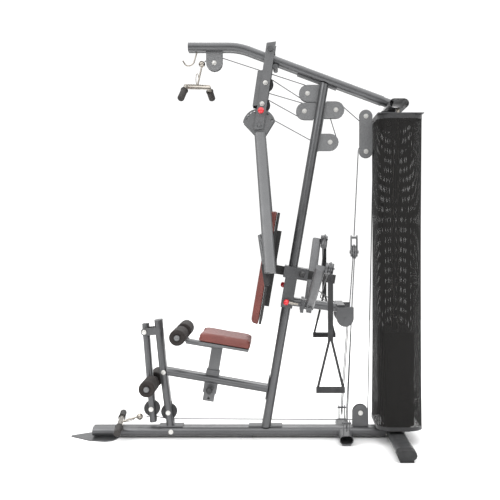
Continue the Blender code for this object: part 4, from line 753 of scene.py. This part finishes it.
def lay_arm_cable(label):
    side = ARM_SIDES[label]
    pivot, up, over, wheel = arm_frame(label)
    arm = f"cable_arm_{label}"
    out = SIDEWAYS * side
    rise = math.degrees(ARM_RISES[label])
    wrap = turn_about(wheel, out, ALONG, ARM_WRAP, [share * (90 + rise) / 14 for share in range(15)])
    start = wheel + out * ARM_WRAP + UP * (BALL_RADIUS - BALL_BELOW)
    strand(f"arm_cable_{label}_start", straight(start, wrap[0], 8), f"handle_{label}", arm,
           ["arm_cable"] if side < 0 else ())
    strand(f"arm_cable_{label}_wheel", wrap, arm, arm)
    turn = pivot + up * ARM_TURN + over * ARM_WRAP + ACROSS * ARM_WHEEL_BEHIND
    strand(f"arm_cable_{label}_along", straight(wrap[-1], turn), arm, arm)
    middle = Vector((MID_HIGH[0], side * MID_HIGH[1], MID_HIGH[2]))
    high_wrap = turn_about(middle, FORWARD, UP, MID_WRAP, range(98, -1, -7))
    strand(f"arm_cable_{label}_across", straight(turn, high_wrap[0]), arm, "root")
    base = Vector((MID_BASE[0], side * MID_BASE[1], MID_BASE[2]))
    base_wrap = turn_about(base, out, -UP, CABLE_WRAP, range(-10, 189, 9))
    strand(f"arm_cable_{label}_fixed", [*high_wrap, *straight(high_wrap[-1], base_wrap[0])[1:-1], *base_wrap],
           "root", "root")
    top_wrap = turn_about(FLOATING, out, UP, CABLE_WRAP, range(-6, 85, 6))
    strand(f"arm_cable_{label}_rise", straight(base_wrap[-1], top_wrap[0]), "root", "floating_pulley_block")
    top_wrap.append(FLOATING + UP * CABLE_WRAP)
    strand(f"arm_cable_{label}_block", top_wrap, "floating_pulley_block", "floating_pulley_block")


lay_arm_cable("left")
lay_arm_cable("right")


# Bolts and knobs


BOLT_HEAD = (0.0095, 0.0062, 0.0130)
BRACKET_HALF = 0.0182
SWING_HALF = 0.0602


def add_bolts():
    """Pale hexagon bolts at the axles of the pulleys between plates."""
    half = BRACKET_HALF
    groups = {
        "root": [(AXLES[n], half) for n in ("lat_pulley", "front_upper_pulley", "front_lower_pulley",
                                            "rear_upper_pulley", "rear_lower_pulley", "stack_top_pulley")],
        "double_pulley_block": [(AXLES["block_high"], half), (AXLES["block_low"], half)],
        "swing_arm": [(AXLES["swing_upper_pulley"], SWING_HALF), (AXLES["swing_lower_pulley"], SWING_HALF)],
    }
    for body, places in groups.items():
        shape = bmesh.new()
        for (x, z), reach in places:
            for side in (-1, 1):
                hex_bolt(shape, (x, side * reach, z), SIDEWAYS * side, *BOLT_HEAD)
        piece(f"{body}_bolts", shape, BOLT_STEEL, body, smooth=25)


add_bolts()


def skin(x, z, side):
    """How far out from the middle plane the outermost steel lies at this place, looking in from one side."""
    graph = bpy.context.evaluated_depsgraph_get()
    reach = 0.0
    for name, obj in frame["nodes"].items():
        if SLOT_OF[name] not in ("frame", "bracket") or obj.hide_render:
            continue
        mesh = obj.evaluated_get(graph)
        back = obj.matrix_world.inverted()
        found, at, _, _ = mesh.ray_cast(back @ Vector((x, side, z)), back.to_3x3() @ Vector((0, -side, 0)))
        if found:
            reach = max(reach, (obj.matrix_world @ at).y * side)
    return reach


def add_frame_bolts():
    """Bolt heads set down on whatever plate or tube lies outermost at each axle and joint."""
    lever = JOINTS["leg_lever_swing"]["pos_m"]
    groups = {
        "leg_lever": [AXLES["lever_pulley"]],
        "root": [(lever[0], lever[2]), AXLES["post_pulley"], AXLES["base_pulley"], (-0.447, 0.353),
                 (-0.406, 0.037)],
    }
    for body, places in groups.items():
        shape = bmesh.new()
        for x, z in places:
            for side in (-1, 1):
                reach = skin(x, z, side) + 0.0001
                hex_bolt(shape, (x, side * reach, z), SIDEWAYS * side, *BOLT_HEAD)
        piece(f"{body}_frame_bolts", shape, BOLT_STEEL, body, smooth=25)


add_frame_bolts()


def ball_knob(name, node, tip_to_ball, radius, finish, way):
    """A spring pin: a plain shank and a glossy ball with a small flat, drawn along way."""
    low, high = (Vector(corner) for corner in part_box(node))
    centre = (low + high) / 2
    far = Vector(tuple(high[i] if way[i] > 0 else low[i] if way[i] < 0 else centre[i] for i in range(3)))
    way = Vector(way)
    ball = far - way * radius
    place = basis(ball, way, FORWARD)
    shape = bmesh.new()
    profile = []
    for i in range(15):
        angle = math.radians(-78 + 12 * i)
        if math.degrees(angle) > 72:
            break
        profile.append((radius * math.cos(angle), radius * math.sin(angle)))
    profile.append((radius * 0.25, radius * 0.985))
    profile.insert(0, (radius * 0.42, -radius * 1.35))
    turn_profile(shape, profile, place, 36)
    piece(f"{name}_ball", shape, finish, node, [node], 50)
    shape = bmesh.new()
    back = -tip_to_ball
    turn_profile(shape, [(0.0050, back), (0.0060, back + 0.002), (0.0060, -radius * 0.8)], place, 20)
    piece(f"{name}_shank", shape, CHROME, node, (), 50)


def add_knobs():
    ball_knob("press_knob", "press_knob", 0.0405, 0.0170, RED_KNOB, (0, -1, 0))
    ball_knob("seat_knob", "seat_knob", 0.0400, 0.0190, END_CAP, (0, -1, 0))
    ball_knob("backrest_knob", "backrest_knob", 0.0640, 0.0170, END_CAP, (0, -1, 0))


add_knobs()


# Grips, hook, pins and links that the CAD leaves plain


LAT_BAR_BENDS = ((-0.347, -0.100, 1.810), (-0.327, -0.030, 1.886), (-0.213, 0.030, 1.892),
                 (-0.198, 0.100, 1.838))
BAR_RADIUS = 0.0155
LOW_BAR_CENTRE = Vector((-0.685, 0, 0.0765))
LOW_BAR_HALF = 0.225
LOW_BAR_TURN = math.radians(7.3)
GRIP_LENGTH = 0.125


def bar_grip(name, body, end, inner, length):
    """A ribbed rubber sleeve with a collar at its inner edge and a domed cap on the bar's end."""
    end = Vector(end)
    way = (Vector(inner) - end).normalized()
    place = basis(end, way, FORWARD)
    fat = BAR_RADIUS + 0.0028
    shape = bmesh.new()
    profile = [(0.006, -0.0022), (fat * 0.86, -0.0018), (fat, 0.003)]
    ribs = max(2, round(length / 0.010))
    for i in range(1, ribs):
        at = length * i / ribs
        profile += [(fat, at - 0.0012), (fat - 0.0009, at), (fat, at + 0.0012)]
    profile += [(fat, length - 0.004), (fat + 0.0022, length - 0.003), (fat + 0.0022, length),
                (BAR_RADIUS, length)]
    turn_profile(shape, profile, place, 28)
    piece(name, shape, GRIP_RUBBER, body, smooth=50)


def add_bar_grips():
    first, second, third, last = LAT_BAR_BENDS
    bar_grip("lat_bar_grip_left", "lat_bar", first, second, 0.074)
    bar_grip("lat_bar_grip_right", "lat_bar", last, third, 0.060)
    turn = Matrix.Rotation(LOW_BAR_TURN, 3, "Z")
    for label, side in (("left", -1), ("right", 1)):
        end = LOW_BAR_CENTRE + turn @ Vector((0, side * LOW_BAR_HALF, 0))
        bar_grip(f"low_bar_grip_{label}", "low_bar", end, LOW_BAR_CENTRE, GRIP_LENGTH)


add_bar_grips()


HOOK_CORNERS = ((-0.272, 0, 2.075), (-0.292, 0, 2.008), (-0.330, 0, 2.000), (-0.347, 0, 2.030))
HOOK_BEND = 0.022
HOOK_RADIUS = 0.0042


def add_boom_hook():
    """The open hook under the boom's front end, where the bar is hung when it is not in use."""
    shape = bmesh.new()
    sweep(shape, round_points(HOOK_CORNERS, HOOK_BEND), HOOK_RADIUS, 12)
    piece("boom_hook", shape, CHROME, "root", smooth=50)


add_boom_hook()


ARM_PINS = {"left": (0.212, -0.076, 0.733), "right": (0.196, 0.076, 0.814)}
PIN_KNOB = ((0.0060, -0.012), (0.0125, -0.010), (0.0160, -0.002), (0.0160, 0.006), (0.0120, 0.013),
            (0.0050, 0.016))
PIN_BARREL = ((0.0052, -0.062), (0.0052, -0.034), (0.0080, -0.034), (0.0080, -0.012))


def add_arm_pins():
    """The red spring pins that lock the two cable arms at their angle."""
    for label, at in ARM_PINS.items():
        place = basis(at, -ACROSS, SIDEWAYS)
        shape = bmesh.new()
        turn_profile(shape, PIN_KNOB, place, 30)
        piece(f"arm_pin_{label}_knob", shape, RED_KNOB, "root", smooth=60)
        shape = bmesh.new()
        turn_profile(shape, PIN_BARREL, place, 20)
        piece(f"arm_pin_{label}_barrel", shape, CHROME, "root", smooth=50)


add_arm_pins()


LINK_HALF = 0.0075
LINK_WIRE = 0.0020


def snap_link(name, body, top, bottom):
    """A steel snap link: a long closed loop of round bar."""
    top, bottom = Vector(top), Vector(bottom)
    long = bottom - top
    across = long.cross(SIDEWAYS).normalized()
    corners = []
    for i in range(25):
        angle = 2 * math.pi * i / 24
        stretch = 0.5 + 0.5 * math.cos(angle)
        corners.append(bottom - long * stretch + across * LINK_HALF * math.sin(angle))
    shape = bmesh.new()
    sweep(shape, corners, LINK_WIRE, 8, side=SIDEWAYS)
    piece(name, shape, CHROME, body, smooth=50)


LAT_BAR_MIDDLE = (Vector(LAT_BAR_BENDS[1]) + Vector(LAT_BAR_BENDS[2])) / 2
snap_link("lat_bar_link", "lat_bar", LAT_BAR_MIDDLE + UP * 0.072, LAT_BAR_MIDDLE + UP * 0.014)
snap_link("low_bar_link", "low_bar", LOW_BAR_CENTRE + Vector((0.078, 0, 0.024)),
          LOW_BAR_CENTRE + Vector((0.018, 0, 0.004)))


# Mesh shroud


SHROUD_X = 0.8035
SHROUD_HALF = (0.1195, 0.190)
SHROUD_Z = (0.078, 1.722)
SHROUD_CORNER = 0.075


def shroud_loop(inset, rise):
    """Round-cornered outline of the weave, bowed in a little at mid height as a stretched sleeve is."""
    bow = 0.004 * math.sin(math.pi * rise)
    half_x = SHROUD_HALF[0] - inset - bow
    half_y = SHROUD_HALF[1] - inset - bow
    points = []
    for sx, sy, start in ((1, 1, 0), (-1, 1, 90), (-1, -1, 180), (1, -1, 270)):
        centre = Vector((SHROUD_X + sx * (half_x - SHROUD_CORNER), sy * (half_y - SHROUD_CORNER)))
        for i in range(9):
            angle = math.radians(start + 90 * i / 8)
            points.append(centre + SHROUD_CORNER * Vector((math.cos(angle), math.sin(angle))))
    return points


def add_shroud():
    shape = bmesh.new()
    rows = 24
    loops = []
    for i in range(rows + 1):
        rise = i / rows
        z = SHROUD_Z[0] + (SHROUD_Z[1] - SHROUD_Z[0]) * rise
        loops.append([(p.x, p.y, z) for p in shroud_loop(0.0008, rise)])
    loft(shape, loops, closed_ends=False)
    piece("shroud_weave", shape, WEAVE, "root", ["mesh_shroud"], 60)
    for name, low, high in (("shroud_top_hem", 0.985, 1.0), ("shroud_foot_hem", 0.0, 0.012)):
        shape = bmesh.new()
        rings = []
        for inset, rise in ((0.0, low), (0.0, high), (0.0030, high), (0.0030, low)):
            z = SHROUD_Z[0] + (SHROUD_Z[1] - SHROUD_Z[0]) * rise
            rings.append([(p.x, p.y, z) for p in shroud_loop(inset, rise)])
        loft(shape, rings, closed_ring=True)
        piece(name, shape, WEBBING, "root")


add_shroud()


# Stage


FLOOR_HALF = 5
SKY_STOPS = [(0.0, 0.10), (0.22, 0.24), (0.55, 0.60), (1.0, 1.0)]
SKY_STRENGTH = 2.7
BACKDROP_STRENGTH = 1.1
LAMP_AIM = Vector((0.1, 0, 1.0))
LAMPS = (("key", (-2.4, -3.4, 3.6), 2.2, 60.0), ("fill", (3.2, -2.8, 2.6), 2.4, 36.0),
         ("rear", (0.5, 3.6, 3.4), 3.0, 40.0))
CAMERA_PLACE = (0.204, -4.3, 1.170)
CAMERA_LENS = 57.3
CAMERA_SENSOR = 36
CAMERA_SHIFT = (-0.07, -0.06)


def add_stage():
    """A pale floor, a sky brightest overhead, a white backdrop for the camera alone, and three lamps."""
    shape = bmesh.new()
    bmesh.ops.create_grid(shape, x_segments=1, y_segments=1, size=FLOOR_HALF)
    mesh = bpy.data.meshes.new("studio_floor")
    shape.to_mesh(mesh)
    shape.free()
    floor = bpy.data.objects.new("studio_floor", mesh)
    bpy.context.scene.collection.objects.link(floor)
    made, tree, shader, place = node_material("studio_floor_paint")
    tree.links.new(ramp(tree, noise(tree, place, 0.8), [(0.3, 0.86), (0.7, 0.88)]),
                   shader.inputs["Base Color"])
    shader.inputs["Roughness"].default_value = 0.9
    mesh.materials.append(made)
    world = bpy.data.worlds.new("studio")
    world.use_nodes = True
    tree = world.node_tree
    softbox = tree.nodes["Background"]
    softbox.inputs["Strength"].default_value = SKY_STRENGTH
    split = tree.nodes.new("ShaderNodeSeparateXYZ")
    tree.links.new(tree.nodes.new("ShaderNodeTexCoord").outputs["Generated"], split.inputs["Vector"])
    tree.links.new(ramp(tree, split.outputs["Z"], SKY_STOPS), softbox.inputs["Color"])
    backdrop = tree.nodes.new("ShaderNodeBackground")
    backdrop.inputs["Color"].default_value = (1.0, 1.0, 1.0, 1)
    backdrop.inputs["Strength"].default_value = BACKDROP_STRENGTH
    chosen = tree.nodes.new("ShaderNodeMixShader")
    tree.links.new(tree.nodes.new("ShaderNodeLightPath").outputs["Is Camera Ray"], chosen.inputs[0])
    tree.links.new(softbox.outputs[0], chosen.inputs[1])
    tree.links.new(backdrop.outputs[0], chosen.inputs[2])
    tree.links.new(chosen.outputs[0], tree.nodes["World Output"].inputs["Surface"])
    bpy.context.scene.world = world
    for name, place, size, power in LAMPS:
        data = bpy.data.lights.new(name, "AREA")
        data.size = size
        data.energy = power
        lamp = bpy.data.objects.new(name, data)
        lamp.location = place
        lamp.rotation_euler = (LAMP_AIM - Vector(place)).to_track_quat("-Z", "Y").to_euler()
        bpy.context.scene.collection.objects.link(lamp)


def add_camera():
    """The camera stands square to the left side, its frame shifted as in the studio view."""
    data = bpy.data.cameras.new("photo_camera")
    data.lens = CAMERA_LENS
    data.sensor_width = CAMERA_SENSOR
    data.shift_x, data.shift_y = CAMERA_SHIFT
    camera = bpy.data.objects.new("photo_camera", data)
    camera.location = CAMERA_PLACE
    camera.rotation_euler = (math.radians(90), 0, 0)
    bpy.context.scene.collection.objects.link(camera)
    bpy.context.scene.camera = camera
    bpy.context.scene.view_settings.view_transform = "Standard"


add_stage()
add_camera()
